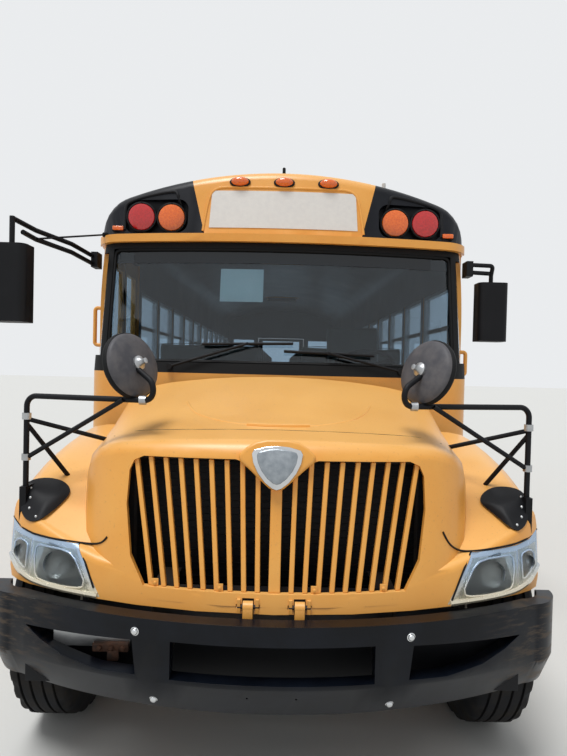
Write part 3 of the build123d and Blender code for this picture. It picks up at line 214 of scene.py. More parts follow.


# Bright lamp moulding under lacquer, its colour a painted reflection: sky blue above, pale cream ground
# bounce towards its foot
def lamp_moulding():
    material, tree, place = start_material("lamp_moulding_painted_reflection")
    # Colour by height: painted reflection of the sky above and the ground below
    height = put(tree, PARTS, links=place).outputs["Z"]
    level = put(tree, RANGE, {"From Min": 0.860, "From Max": 0.960}, height)
    colours = put(tree, RAMP, links=level, stops=((0.0, "#D8CFB8"), (1.0, "#9FB4CC")))
    dust = put(tree, NOISE, {"Scale": 60.0, "Detail": 4.0}, place)
    gloss = put(tree, RAMP, links=dust, stops=((0.35, 0.16), (0.75, 0.32)))
    return surfaced(material, {"Metallic": 0.45, "Coat Weight": 0.6},
                    {"Base Color": colours, "Roughness": gloss})


# Black enamel on the bumper, worn to brown primer and dust where the ends have scraped
def scuffed_black():
    material, tree, place = start_material("scuffed_bumper_enamel")
    patches = put(tree, NOISE, {"Scale": 5.0, "Detail": 7.0, "Roughness": 0.65}, place)
    base = put(tree, RAMP, links=patches, stops=((0.38, "#05080F"), (0.68, "#0E131C")))
    across = put(tree, PARTS, links=place).outputs["X"]
    side = put(tree, MATHS, links=across, operation="ABSOLUTE")
    ends = put(tree, RANGE, {"From Min": 0.78, "From Max": 1.12, "To Max": 0.45}, side)
    scrape = put(tree, "ShaderNodeMapping", {"Scale": (6.0, 6.0, 34.0)}, place)
    streaks = put(tree, NOISE, {"Scale": 1.6, "Detail": 8.0, "Roughness": 0.7}, scrape)
    bare = put(tree, RANGE, {"From Min": 0.50, "From Max": 0.62}, streaks)
    worn = put(tree, MATHS, links={0: bare, 1: ends}, operation="MULTIPLY")
    colour = put(tree, MIX, {"B": srgb("#6B5A48")}, {"Factor": worn, "A": base}, data_type="RGBA")
    gloss = put(tree, RANGE, {"To Min": 0.30, "To Max": 0.75}, worn)
    bump = put(tree, BUMP, {"Strength": 0.12, "Distance": 0.001}, {"Height": streaks})
    return surfaced(material, {"Specular IOR Level": MATT},
                    {"Base Color": colour, "Roughness": gloss, "Normal": bump})


YELLOW = bus_yellow("faded_and_sunlit_yellow_enamel")
# The same enamel outside; inside the cabin a grey lining painted dark as the cabin's shade
BODY_SKIN = bus_yellow("sunlit_yellow_skin_shaded_lining", inside=True)
CLEAR_COVER = clear_cover()
SCUFFED_BLACK = scuffed_black()
GLASS = sheet_glass()
LAMP_SHELL = lamp_moulding()
RED_LENS = lens("ribbed_red_polycarbonate", "#A80D0C", "#C9161A")
AMBER_LENS = lens("ribbed_amber_polycarbonate", "#D65400", "#F07410")
# Black enamel on steel: nearly black, a soft gloss under road dust
BLACK = coated("black_enamel", "#06080F", "#0E1119", 0.35, 0.30, 0.22, 0.0016, 0.06, specular=MATT)
# Black moulded ABS: even, low gloss, leathery grain
ABS = coated("grained_black_abs", "#090A0E", "#131418", 0.30, 0.48, 0.15, 0.0015, 0.35, specular=MATT)
# Chassis enamel with road film: black that has gone grey-brown
CHASSIS = coated("road_grimed_chassis_enamel", "#17161A", "#33291F", 0.20, 0.55, 0.25, 0.004, 0.25)
# Natural rubber with carbon black: dull, browner where it is dusty
RUBBER = coated("tyre_rubber", "#15161A", "#26231F", 0.12, 0.72, 0.18, 0.003, 0.30, specular=MATT)
# Extruded EPDM seal: even black, dull, nearly smooth
GASKET = coated("extruded_epdm_gasket", "#07080A", "#101113", 0.15, 0.55, 0.20, 0.002, 0.15, specular=MATT)
# Satin anodised aluminium: pale, dull, with a fine even grain
ALUMINIUM = coated("satin_anodised_aluminium", "#A9ABAD", "#BFC1C2", 0.1, 0.36, 0.14, 0.0015, 0.1, 0.9)
# Steel that has rusted through its paint
RUST = coated("rusted_steel", "#3A2A22", "#6A4530", 0.06, 0.70, 0.20, 0.004, 0.50)
# White wheel enamel, dulled by brake dust
RIM_PAINT = coated("white_wheel_enamel", "#B9B3A6", "#D6D1C6", 0.15, 0.42, 0.20, 0.002, 0.10)
# Rubber floor covering: dark grey, dull, finely grained
FLOORING = coated("ribbed_rubber_flooring", "#1A1B1D", "#2B2B2C", 0.40, 0.70, 0.15, 0.004, 0.30)
# Seat vinyl: dark green, satin, with a leathery grain
VINYL = coated("green_seat_vinyl", "#24322F", "#31413D", 0.20, 0.46, 0.14, 0.0025, 0.40)
# Dash moulding: dark grey ABS with a coarse matt grain
DASH = coated("moulded_dash_abs", "#2A2C2F", "#3A3C3F", 0.30, 0.55, 0.15, 0.002, 0.40)
# Chromed steel: bright, all but smooth
CHROME = coated("chromed_steel", "#C8CACC", "#D8DADB", 0.10, 0.08, 0.10, metallic=1.0)
# Vacuum-metallised reflector gone dull behind the cover
REFLECTOR = coated("dulled_metallised_reflector", "#5F6870", "#8A9095", 0.05, 0.3, 0.2, 0.003, 0.15, 0.8)
# Turn-lamp chamber with a faint amber filter
HAZY_AMBER = coated("hazed_amber_filter", "#9C8465", "#B7A183", 0.04, 0.30, 0.20, 0.003, 0.10, metallic=0.4)
# Satin cast badge face, left plain
BADGE_FACE = coated("satin_cast_badge", "#8E959B", "#A5ABB0", 0.03, 0.32, 0.10, 0.001, 0.10, metallic=0.9)
# Semi-matt polymer of the fender mirrors' backs, sun-faded to a warm grey
MIRROR_BACK = coated("faded_mirror_back_abs", "#4A4A4F", "#5E5C5E", 0.06, 0.42, 0.15, 0.0015, 0.2,
                     specular=MATT)
# Pale blue-green card stock behind the glass
CARD = coated("pale_green_card", "#DCEFEA", "#E6F3EF", 0.08, 0.75, 0.10, 0.001, 0.05)
# Dark shade band fired into the top of the windshield
TINT = coated("dark_shade_band", "#0A1117", "#0E161D", 0.30, 0.08, 0.04)
# Retroreflective sheeting: white beads under a clear film, slightly uneven
SIGN_SHEET = coated("white_reflective_sheeting", "#D3D0CC", "#D8D5D0", 0.03, 0.32, 0.15, 0.004, 0.10)
# The same sheeting in red
RED_SHEET = coated("red_reflective_sheeting", "#9E1218", "#B01A20", 0.20, 0.35, 0.12, 0.003, 0.15)

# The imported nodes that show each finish
NODE_FINISHES = {
    BODY_SKIN: "roof cowl wall_left wall_right rear_wall rear_door",
    YELLOW: "front_cap windshield_frame hood entrance_door_front entrance_door_rear roof_hatch_front"
            " roof_hatch_rear grille_bars",
    BLACK: "rub_rails front_bumper rear_bumper",
    CHASSIS: "floor_sills frame leaf_springs front_axle rear_axle knuckle_left knuckle_right fuel_tank"
             " engine",
    ABS: "rear_view_mirrors crossview_mirrors wipers steering_wheel",
    FLOORING: "stepwell floor",
    GLASS: "body_glass rear_door_glass entrance_door_front_glass entrance_door_rear_glass",
    ALUMINIUM: "window_frames",
    RUST: "exhaust",
    RED_LENS: "red_lamps",
    AMBER_LENS: "amber_lamps",
    CHROME: "headlamps",
    DASH: "dashboard",
    VINYL: "driver_seat passenger_seats_left passenger_seats_right",
    RED_SHEET: "stop_arm",
    RUBBER: "tyre_front_left tyre_front_right tyres_rear_left tyres_rear_right",
    RIM_PAINT: "rim_front_left rim_front_right rims_rear_left rims_rear_right",
}


def wear(piece, material):
    """Gives a piece one finish all over."""
    piece.data.materials.clear()
    piece.data.materials.append(material)


for finish, names in NODE_FINISHES.items():
    for name in names.split():
        wear(cad[name], finish)


# Camera, floor and light


def link(name, data):
    """A new object in the scene."""
    made = bpy.data.objects.new(name, data)
    bpy.context.scene.collection.objects.link(made)
    return made


def add_camera():
    data = bpy.data.cameras.new("photo_camera")
    data.lens = FOCAL_PX / PHOTO_H * SENSOR_MM
    data.sensor_width = SENSOR_MM
    camera = link("photo_camera", data)
    turn = Matrix.Rotation(YAW, 4, "Z") @ Matrix.Rotation(math.pi / 2 + PITCH, 4, "X")
    camera.matrix_world = Matrix.Translation(CAMERA_AT) @ turn @ Matrix.Rotation(ROLL, 4, "Z")
    bpy.context.scene.camera = camera
    bpy.context.view_layer.update()
    return camera


camera = add_camera()

FLOOR_SIZE = 120.0
SUN_STRENGTH = 2.5
SUN_SPREAD = math.radians(25)
SUN_AIM = Vector((0.30, 0.42, -1.45))
SKY_STRENGTH = {"To Min": 0.52, "To Max": 0.92}


def add_floor():
    """Pale matte paint that the camera sees nearly as pale as the backdrop."""
    bpy.ops.object.select_all(action="DESELECT")
    bpy.ops.mesh.primitive_plane_add(size=FLOOR_SIZE)
    plane = bpy.context.object
    plane.name = "studio_floor"
    material, _, _ = start_material("pale_floor_paint")
    wear(plane, surfaced(material, {"Base Color": srgb("#CFCFCC"), "Roughness": 0.9}))


def add_light():
    """A sky that looks brighter than it lights, and one soft sun."""
    world = bpy.data.worlds.new("studio")
    bpy.context.scene.world = world
    world.use_nodes = True
    tree = world.node_tree
    tree.nodes.clear()
    paths = put(tree, "ShaderNodeLightPath").outputs
    rays = {0: paths["Is Camera Ray"], 1: paths["Is Glossy Ray"]}
    direct = put(tree, MATHS, links=rays, operation="MAXIMUM")
    shown = put(tree, MATHS, links={0: direct, 1: paths["Is Transmission Ray"]}, operation="MAXIMUM")
    strength = put(tree, RANGE, SKY_STRENGTH, shown)
    sky = put(tree, "ShaderNodeBackground", {"Color": srgb("#F3F5F7")}, {"Strength": strength})
    put(tree, "ShaderNodeOutputWorld", links=sky)
    data = bpy.data.lights.new("soft_sun", "SUN")
    data.energy = SUN_STRENGTH
    data.angle = SUN_SPREAD
    link("soft_sun", data).rotation_euler = SUN_AIM.to_track_quat("-Z", "Y").to_euler()


add_floor()
add_light()


# Modelling helpers


def deselect():
    bpy.ops.object.select_all(action="DESELECT")


def take(piece):
    """Makes one piece the only selected and active one."""
    deselect()
    piece.select_set(True)
    bpy.context.view_layer.objects.active = piece


def edited(piece, operation, **settings):
    """Runs one edit-mode operation on the whole of a piece."""
    take(piece)
    bpy.ops.object.mode_set(mode="EDIT")
    bpy.ops.mesh.select_all(action="SELECT")
    operation(**settings)
    bpy.ops.object.mode_set(mode="OBJECT")
    return piece


def shaded(piece, degrees=SMOOTH_DEGREES):
    """Shades a piece smooth except across edges sharper than an angle."""
    take(piece)
    bpy.ops.object.shade_smooth_by_angle(angle=math.radians(degrees))
    return piece


def outwards(piece):
    """Turns every face of a closed piece outwards."""
    return edited(piece, bpy.ops.mesh.normals_make_consistent, inside=False)


def settle(piece):
    """Moves the object's place into its mesh, so that the object sits at the origin."""
    take(piece)
    bpy.ops.object.transform_apply(location=True, rotation=True, scale=True)
    return piece


def shape_with(piece, kind, **settings):
    """Adds one modifier, sets it and applies it."""
    modifier = piece.modifiers.new(kind.lower(), kind)
    for key, value in settings.items():
        setattr(modifier, key, value)
    take(piece)
    bpy.ops.object.modifier_apply(modifier=modifier.name)
    return piece


def round_edges(piece, width, segments=2, angle=35):
    """Rounds the sharp edges and shades the faces smooth between them."""
    if width:
        shape_with(piece, "BEVEL", width=width, segments=segments, limit_method="ANGLE",
                   angle_limit=math.radians(angle), use_clamp_overlap=True)
    return shaded(piece)


stand_ins = []


def finished(piece, name, material, *replaced, body="chassis", slot=None):
    """Names a piece, or a list merged, gives it its finish and says what it rides on and stands for."""
    if isinstance(piece, list):
        piece = merged(piece)
    piece.name = name
    piece.data.name = name
    wear(piece, material)
    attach(piece, body)
    if replaced:
        stand_ins.append((piece, replaced))
    return piece


def slab(low, high, edge=0.0, segments=2):
    """A block between two corners with rounded edges."""
    deselect()
    low, high = Vector(low), Vector(high)
    bpy.ops.mesh.primitive_cube_add(size=1, location=(low + high) / 2)
    piece = bpy.context.object
    piece.scale = high - low
    return round_edges(settle(piece), edge, segments)


def block(middle, half, edge=0.0, segments=2):
    """A block given by its middle and half its size."""
    middle, half = Vector(middle), Vector(half)
    return slab(middle - half, middle + half, edge, segments)


def point_along(piece, place, facing):
    """Turns a piece made along Z to face a direction, at its place."""
    piece.rotation_euler = Vector(facing).to_track_quat("Z", "Y").to_euler()
    piece.location = place
    return settle(piece)


def turned(rows, place=ORIGIN, facing=ALONG_Z, sides=40):
    """A turned form: rings of (radius, height) joined from the first to the last, closed at both ends."""
    deselect()
    bpy.ops.mesh.primitive_circle_add(vertices=sides, radius=rows[0][0], fill_type="NGON")
    piece = bpy.context.object
    bpy.ops.object.mode_set(mode="EDIT")
    bpy.ops.mesh.select_all(action="SELECT")
    for (r0, h0), (r1, h1) in zip(rows, rows[1:]):
        bpy.ops.mesh.extrude_region_move(TRANSFORM_OT_translate={"value": (0, 0, h1 - h0)})
        bpy.ops.transform.resize(value=(r1 / r0, r1 / r0, 1))
    bpy.ops.object.mode_set(mode="OBJECT")
    outwards(piece)
    piece.data.transform(Matrix.Translation((0, 0, rows[0][1])))
    return shaded(point_along(piece, place, facing))


def tube(points, radius, sides=12, smooth=True, closed=False):
    """A round bar or pipe that follows the points."""
    data = bpy.data.curves.new("run", "CURVE")
    data.dimensions = "3D"
    data.bevel_depth = radius
    data.bevel_resolution = max(1, sides // 4 - 1)
    data.resolution_u = 6
    data.use_fill_caps = True
    spline = data.splines.new("NURBS" if smooth else "POLY")
    spline.points.add(len(points) - 1)
    for spot, place in zip(spline.points, points):
        spot.co = (*place, 1.0)
    spline.use_cyclic_u = closed
    if smooth:
        spline.order_u = 3
        spline.use_endpoint_u = not closed
    take(link("run", data))
    bpy.ops.object.convert(target="MESH")
    return shaded(bpy.context.object)


def copy_at(piece, move=ORIGIN, turn=Matrix()):
    """A copy with its own mesh, turned about the origin and then moved."""
    twin = link(piece.name, piece.data.copy())
    twin.data.transform(Matrix.Translation(move) @ turn)
    return twin


def studded(rows, sides, side, places, *finish, **more):
    """Copies of one turned stud that face outwards on one side of the bus, as one finished piece."""
    stud = turned(rows, ORIGIN, ALONG_X, sides)
    turn = Matrix() if side > 0 else HALF_TURN
    studs = [copy_at(stud, place, turn) for place in places]
    bpy.data.objects.remove(stud)
    return finished(studs, *finish, **more)


def flipped(piece):
    """A mirror image on the other side of the centreline, its faces turned outwards again."""
    twin = copy_at(piece, turn=Matrix.Scale(-1, 4, ALONG_X))
    return edited(twin, bpy.ops.mesh.flip_normals)


def merged(pieces):
    """Several pieces as one object."""
    deselect()
    for piece in pieces:
        piece.select_set(True)
    bpy.context.view_layer.objects.active = pieces[0]
    bpy.ops.object.join()
    return bpy.context.object


def leaned(piece, pivot, degrees):
    """Turns a piece's mesh about an axis along X through a place."""
    turn = Matrix.Rotation(math.radians(degrees), 4, "X")
    piece.data.transform(Matrix.Translation(pivot) @ turn @ Matrix.Translation(-pivot))
    return piece


def carried_over(node, edge, segments=2, angle=35):
    """A copy of a CAD node with its triangles merged into faces and its edges rounded."""
    piece = link("copy", cad[node].data.copy())
    edited(piece, bpy.ops.mesh.remove_doubles, threshold=0.00002)
    edited(piece, bpy.ops.mesh.dissolve_limited, angle_limit=math.radians(1))
    round_edges(piece, edge, segments, angle)
    return shape_with(piece, "WEIGHTED_NORMAL", keep_sharp=True)


def sight(px, py):
    """Direction from the camera through a pixel of the photograph."""
    local = Vector(((px - PHOTO_W / 2) / FOCAL_PX, (PHOTO_H / 2 - py) / FOCAL_PX, -1.0))
    return (camera.matrix_world.to_3x3() @ local).normalized()


def on_sight(px, py, station):
    """Where a pixel's sight line crosses a station."""
    ray = sight(px, py)
    return CAMERA_AT + ray * ((at(station) - CAMERA_AT.y) / ray.y)


def struck(origin, aim, *nodes):
    """The first point of the named CAD nodes on a ray, with its normal, or None."""
    rays = [cad[name].ray_cast(origin, aim) for name in nodes]
    found = [(place, normal) for hit, place, normal, _ in rays if hit]
    return min(found, key=lambda pair: (pair[0] - origin).length, default=None)


def seen(px, py, *nodes):
    """The nearest point of the named CAD nodes behind a pixel of the photograph, with its normal."""
    return struck(CAMERA_AT, sight(px, py), *nodes)


def front_point(x, z, *nodes):
    """The foremost point of the named CAD nodes at x and z, with its normal."""
    return struck(Vector((x, FRONT_Y - 1, z)), ALONG_Y, *nodes)


def side_place(side, station, z, *nodes):
    """The outermost point of the named nodes on one side, at a station and height, with its normal."""
    return struck(Vector((side * 3, at(station), z)), -side * ALONG_X, *nodes)


def top_point(x, station, *nodes):
    """The highest point of the named CAD nodes at x and a station, with its normal."""
    return struck(Vector((x, at(station), 4)), -ALONG_Z, *nodes)


def draped(node, corners, cuts, lift, thick):
    """A sheet laid on a CAD node from the front, between corners (x, z) listed round from the lower left."""
    piece = plate([(x, FRONT_Y - 0.5, z) for x, z in corners])
    edited(piece, bpy.ops.mesh.subdivide, number_cuts=cuts)
    shape_with(piece, "SHRINKWRAP", target=cad[node], wrap_method="PROJECT", use_project_y=True,
               use_positive_direction=True, use_negative_direction=False, offset=0.0)
    shape_with(piece, "SOLIDIFY", thickness=thick, offset=0.0)
    piece.data.transform(Matrix.Translation((0, -lift, 0)))
    return shaded(outwards(piece))


def plate(corners):
    """A flat quad between four places listed round from the lower left."""
    deselect()
    bpy.ops.mesh.primitive_plane_add(size=1, location=(0, 0, 0))
    piece = bpy.context.object
    for vertex in piece.data.vertices:
        left, low = vertex.co.x < 0, vertex.co.y < 0
        vertex.co = corners[(0 if left else 1) if low else (3 if left else 2)]
    return piece


# Front cap: black lamp panels outboard, a yellow middle with the blank sign

PANEL_LINE = ((0.607, 2.970), (0.510, 2.600))
LIP_TOP_Z = 2.592
CAP_END = at(2.070)
SIGN_CORNERS = ((-0.481, 2.640), (0.481, 2.640), (0.470, 2.893), (-0.470, 2.893))
BROW_XS = (-0.52, -0.50, -0.46, -0.30, -0.10, 0.10, 0.30, 0.46, 0.50, 0.52)
BROW_Z, BROW_STRAIGHT, BROW_DROP = 2.917, 0.47, 120
MARKER_XS, MARKER_Z = (-0.289, 0.0, 0.289), 2.952
MARKER_BASE = [(0.060, 0), (0.060, 0.012), (0.052, 0.018)]
MARKER_DOME = [(0.050, 0.014), (0.049, 0.024), (0.042, 0.036), (0.027, 0.045), (0.010, 0.048)]
MARKER_OVAL, MARKER_TILT = (1.15, 0.58, 1), 0.35
SIDE_MARKER_X, SIDE_MARKER_Z = 1.09, 2.640


def cut_across(piece, place, normal):
    """Adds an edge all round a piece where a plane passes through it."""
    edited(piece, bpy.ops.mesh.bisect, plane_co=place, plane_no=normal, use_fill=False)


def paint_faces(piece, material, chosen):
    """Gives a second finish to the faces that a test on their centre picks."""
    piece.data.materials.append(material)
    slot = len(piece.data.materials) - 1
    for face in piece.data.polygons:
        if chosen(face.center):
            face.material_index = slot


def add_front_cap():
    cap = carried_over("front_cap", 0.006)
    (x1, z1), (x0, z0) = PANEL_LINE
    slope = (x1 - x0) / (z1 - z0)
    for side in SIDES:
        cut_across(cap, (side * x0, 0, z0), (side, 0, -slope))
    cut_across(cap, (0, 0, LIP_TOP_Z), ALONG_Z)
    cut_across(cap, (0, CAP_END, 0), ALONG_Y)
    finished(cap, "front_cap_shell", YELLOW, "front_cap")
    paint_faces(cap, BLACK, lambda c: c.z > LIP_TOP_Z and c.y < CAP_END
                and abs(c.x) > x0 + (c.z - z0) * slope)


def add_roof_sign():
    """The blank sheet and the raised line over it."""
    finished(draped("front_cap", SIGN_CORNERS, 12, 0.003, 0.002), "blank_sign_sheet", SIGN_SHEET)
    brow = [(x, BROW_Z - BROW_DROP * max(0, abs(x) - BROW_STRAIGHT) ** 2) for x in BROW_XS]
    finished(tube([front_point(x, z, "front_cap")[0] for x, z in brow], 0.009), "sign_eyebrow", YELLOW)


def add_marker_lamps():
    """Three oval lamps on the brow and a small square one at each end of the lip."""
    for n, x in enumerate(MARKER_XS):
        place, normal = front_point(x, MARKER_Z, "front_cap")
        facing = (normal - MARKER_TILT * ALONG_Y).normalized()
        for rows, word, material, slot in ((MARKER_BASE, "base", ABS, "black_paint"),
                                           (MARKER_DOME, "lens", AMBER_LENS, None)):
            piece = turned(rows, sides=32)
            piece.scale = MARKER_OVAL
            settle(piece)
            point_along(piece, place - facing * 0.004, facing)
            finished(piece, f"marker_lamp_{word}_{n + 1}", material, slot=slot)
    for side in SIDES:
        x = side * SIDE_MARKER_X
        y, z = front_point(x, SIDE_MARKER_Z, "front_cap")[0].y, SIDE_MARKER_Z + 0.001
        base = block((x, y + 0.009, z), (0.042, 0.021, 0.019), 0.004)
        finished(base, f"side_marker_base_{SIDE_WORDS[side]}", ABS, slot="black_paint")
        glow = block((x, y - 0.018, z), (0.036, 0.008, 0.014), 0.006, 3)
        finished(glow, f"side_marker_lens_{SIDE_WORDS[side]}", AMBER_LENS)


add_front_cap()
add_roof_sign()
add_marker_lamps()


# Warning lamps: ribbed lens in a black ring with six screws

LAMP_X = {"red": 0.936, "amber": 0.738}
LAMP_Z, REAR_LAMP_Z = 2.717, 2.690
LAMP_Y = at(1.835)
LENS_ROWS = [(0.088, 0.048), (0.088, 0.058), (0.084, 0.066), (0.062, 0.074), (0.030, 0.078), (0.008, 0.079)]
RING_ROWS = [(0.096, 0.0), (0.096, 0.052), (0.099, 0.056), (0.099, 0.062), (0.090, 0.064), (0.087, 0.058),
             (0.087, 0.050)]
SCREW_ROWS, SCREW_CIRCLE = [(0.0045, 0.06), (0.0045, 0.067), (0.003, 0.069)], 0.0935


def add_warning_lamps():
    """Front and rear pairs, each modelled once and copied."""
    ring = [turned(RING_ROWS, ORIGIN, -ALONG_Y, 48)]
    for n in range(6):
        a = math.radians(60 * n + 30)
        place = Vector((math.cos(a), 0, math.sin(a))) * SCREW_CIRCLE
        ring.append(turned(SCREW_ROWS, place, -ALONG_Y, 8))
    ring = merged(ring)
    glow = turned(LENS_ROWS, ORIGIN, -ALONG_Y, 48)
    for colour, material in (("red", RED_LENS), ("amber", AMBER_LENS)):
        spots = []
        for side in SIDES:
            spots.append(((side * LAMP_X[colour], LAMP_Y, LAMP_Z), Matrix()))
            spots.append(((side * LAMP_X[colour], REAR_Y, REAR_LAMP_Z), HALF_TURN))
        finished([copy_at(ring, *spot) for spot in spots], f"{colour}_lamp_rings", ABS, slot="black_paint")
        finished([copy_at(glow, *spot) for spot in spots], f"{colour}_lamp_lenses", material)
    bpy.data.objects.remove(ring)
    bpy.data.objects.remove(glow)


add_warning_lamps()


# Nose: hood skin, bars, seams, boss with its blank badge

NOSE_FLANK_Y = at(0.600)
SEAM_PIXELS = (
    [(14.4, 516), (20, 526), (33, 533.5), (50, 538), (65, 540.5), (79, 542.5), (92, 544), (99, 543.5),
     (104, 541), (107, 537)],
    [(536.4, 529), (529, 538), (520, 542), (511.5, 545), (496, 548), (484, 550), (471, 551.3), (461, 551),
     (453, 547.5), (447, 541), (443, 532)],
    [(79, 543), (84, 558.5), (88.5, 573), (93.5, 588), (98.5, 602)],
    [(471, 551.5), (466, 564), (461, 577), (456, 590), (451, 603)],
)
CROSS_SEAM = [(x / 100, 0.395 + 0.105 * (x / 72) ** 2) for x in range(-72, 73, 8)]
HALF_SWELL = [(0.47, 0.93), (0.43, 0.78), (0.34, 0.63), (0.20, 0.505), (0.10, 0.475)]
SCOOP = [(-0.135, 0.475), (-0.07, 0.460), (0.0, 0.455), (0.07, 0.460), (0.135, 0.475)]
TAB_XS, TAB_BOLT = (-0.455, -0.205, 0.150, 0.415), [(0.0065, 0), (0.0065, 0.005), (0.004, 0.007)]
BADGE_X, BADGE_Z = 0.0, 1.392
NOSE_LEAN_Z, NOSE_LEAN = 1.33, -9.5
HALF_BOSS = [(0.040, 0.080), (0.085, 0.070), (0.120, 0.048), (0.150, 0.018), (0.142, -0.006), (0.112, -0.030),
             (0.060, -0.078), (0.030, -0.104), (0.020, -0.112)]
HALF_BADGE = [(0.0, 0.062), (-0.045, 0.058), (-0.090, 0.046), (-0.098, 0.030), (-0.092, -0.004),
              (-0.074, -0.042), (-0.046, -0.078), (-0.018, -0.100), (0.0, -0.106)]
BADGE_PARTS = ((1.0, 0.026, "badge_rim", CHROME), (0.80, 0.030, "badge_face", BADGE_FACE))


def laid(points, lift, *nodes):
    """Places on the front of CAD nodes for points (x, z), lifted off it by a distance."""
    found = [front_point(x, z, *nodes) for x, z in points]
    return [spot[0] + spot[1] * lift for spot in found if spot]


def laid_from_above(points, node, lift):
    """Places on a CAD node's upper side for points (x, station)."""
    found = [top_point(x, station, node) for x, station in points]
    return [spot[0] + spot[1] * lift for spot in found if spot]


def along_sight(pixels, lift, *nodes):
    """Places on the front of CAD nodes where sight lines meet them."""
    found = [seen(px, py, *nodes) for px, py in pixels]
    places = [spot[0] for spot in found if spot and spot[0].y < NOSE_FLANK_Y]
    return [place + (CAMERA_AT - place).normalized() * lift for place in places]


def add_hood():
    finished(carried_over("hood", 0.008, 2, 50), "hood_skin", YELLOW, "hood", body="hood")
    finished(carried_over("grille_bars", 0.006, 3), "grille_uprights", YELLOW, "grille_bars", body="hood")


def add_hood_seams():
    """Dark gaps between the nose's panels, the swelling on its top and the small scoop at its foot."""
    runs = [tube(laid_from_above(CROSS_SEAM, "hood", -0.0005), 0.0022, 8)]
    for pixels in SEAM_PIXELS:
        runs.append(tube(along_sight(pixels, 0.0020, "hood", "headlamps"), 0.0042, 8))
    finished(runs, "nose_seams", GASKET, body="hood", slot="black_paint")
    swell = [(-x, s) for x, s in HALF_SWELL] + [(0.0, 0.470)] + HALF_SWELL[::-1]
    finished(tube(laid_from_above(swell, "hood", -0.005), 0.009), "hood_swell_edge", YELLOW, body="hood")
    finished(tube(laid_from_above(SCOOP, "hood", 0.001), 0.011), "hood_scoop_lip", YELLOW, body="hood")


def shield_prism(corners, y0, y1, edge):
    """A plate with a front-view outline (x, z), its edges rounded."""
    deselect()
    bpy.ops.mesh.primitive_circle_add(vertices=len(corners), radius=1, fill_type="NGON")
    piece = bpy.context.object
    for vertex, (x, z) in zip(piece.data.vertices, corners):
        vertex.co = (x, y0, z)
    edited(piece, bpy.ops.mesh.extrude_region_move, TRANSFORM_OT_translate={"value": (0, y1 - y0, 0)})
    return round_edges(outwards(piece), edge, 3)


def add_badge():
    """Yellow V-shaped boss at the top of the centre bar, with a plain shield-shaped badge on it."""
    front = front_point(0.0, NOSE_LEAN_Z, "hood", "grille_bars")[0].y
    pivot = Vector((BADGE_X, front, NOSE_LEAN_Z))
    outline = [(BADGE_X - x, BADGE_Z + z) for x, z in reversed(HALF_BOSS)]
    outline += [(BADGE_X + x, BADGE_Z + z) for x, z in HALF_BOSS]
    boss = shield_prism(outline, front - 0.018, front + 0.060, 0.012)
    finished(leaned(boss, pivot, NOSE_LEAN), "nose_boss", YELLOW, body="hood")
    whole = HALF_BADGE + [(-x, z) for x, z in HALF_BADGE[-2:0:-1]]
    for scale, depth, name, material in BADGE_PARTS:
        outline = [(BADGE_X + x * scale, BADGE_Z - 0.006 + z * scale) for x, z in whole]
        badge = shield_prism(outline, front - depth, front - 0.010, 0.0045)
        finished(leaned(badge, pivot, NOSE_LEAN), name, material, body="hood")


def add_grille_tabs():
    """Four small fixing tabs at the foot of the bars, each with its bolt."""
    tabs = []
    for x in TAB_XS:
        y = front_point(x, 0.895, "hood")[0].y + 0.012
        tabs.append(slab((x - 0.013, y, 0.896), (x + 0.013, y + 0.004, 0.934), 0.001))
        tabs.append(turned(TAB_BOLT, (x, y, 0.918), -ALONG_Y, 12))
    finished(tabs, "grille_tabs", YELLOW, body="hood")


# Headlamps: bright moulded housing, two pockets under clear covers, a thick lower lip

# Outline (x, z) of each chamber, by its depth
LAMP_POCKETS = {
    0.045: [(0.752, 0.869), (0.775, 0.861), (0.850, 0.856), (0.925, 0.858), (0.969, 0.865), (0.982, 0.882),
            (0.991, 0.945), (0.986, 0.984), (0.970, 0.996), (0.864, 0.995), (0.820, 0.987), (0.792, 0.964),
            (0.768, 0.924), (0.749, 0.891)],
    0.075: [(1.036, 0.890), (1.052, 0.893), (1.082, 0.911), (1.107, 0.934), (1.114, 0.958), (1.109, 0.980),
            (1.094, 0.993), (1.072, 1.000), (1.042, 0.993), (1.032, 0.980)],
}
CHAMBERS_PART_X = 1.01
LAMP_COVERS = (
    [(0.722, 0.850), (1.005, 0.860), (1.005, 1.008), (0.794, 1.004)],
    [(1.015, 0.870), (1.128, 0.926), (1.128, 1.020), (1.015, 1.010)],
)
LAMP_FOOT = [(0.686, 0.846), (0.760, 0.846), (0.840, 0.846), (0.900, 0.847), (0.950, 0.849), (1.000, 0.854),
             (1.040, 0.863), (1.080, 0.876), (1.120, 0.896), (1.150, 0.913), (1.180, 0.933)]
# Middle (x, z), radius and depth behind the lamp's face
LAMP_BOWLS = ((0.885, 0.926, 0.054, 0.040), (1.072, 0.948, 0.030, 0.030))
BULB_ROWS = [(0.009, 0), (0.009, 0.018), (0.006, 0.026), (0.002, 0.028)]


def add_pockets(housing):
    """Cuts the chambers into the housing and gives each a thin raised edge."""
    rims = []
    for side in SIDES:
        for depth, corners in LAMP_POCKETS.items():
            ring = [(side * x, z) for x, z in corners]
            middle = [sum(corner[n] for corner in ring) / len(ring) for n in (0, 1)]
            face = front_point(*middle, "headlamps")[0].y
            cutter = shield_prism(ring, face - 0.15, face + depth, 0.0)
            shape_with(housing, "BOOLEAN", object=cutter, operation="DIFFERENCE", solver="EXACT")
            bpy.data.objects.remove(cutter)
            dense = []
            for (x0, z0), (x1, z1) in zip(ring, ring[1:] + ring[:1]):
                dense += [(x0 + (x1 - x0) * n / 4, z0 + (z1 - z0) * n / 4) for n in range(4)]
            rims.append(tube(laid(dense, 0.0006, "headlamps"), 0.0048, 8, closed=True))
    finished(rims, "headlamp_pocket_rims", LAMP_SHELL, body="hood")


def sunk(place):
    """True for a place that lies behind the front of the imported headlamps."""
    front = front_point(place.x, place.z, "headlamps")
    return front is not None and place.y > front[0].y + 0.006


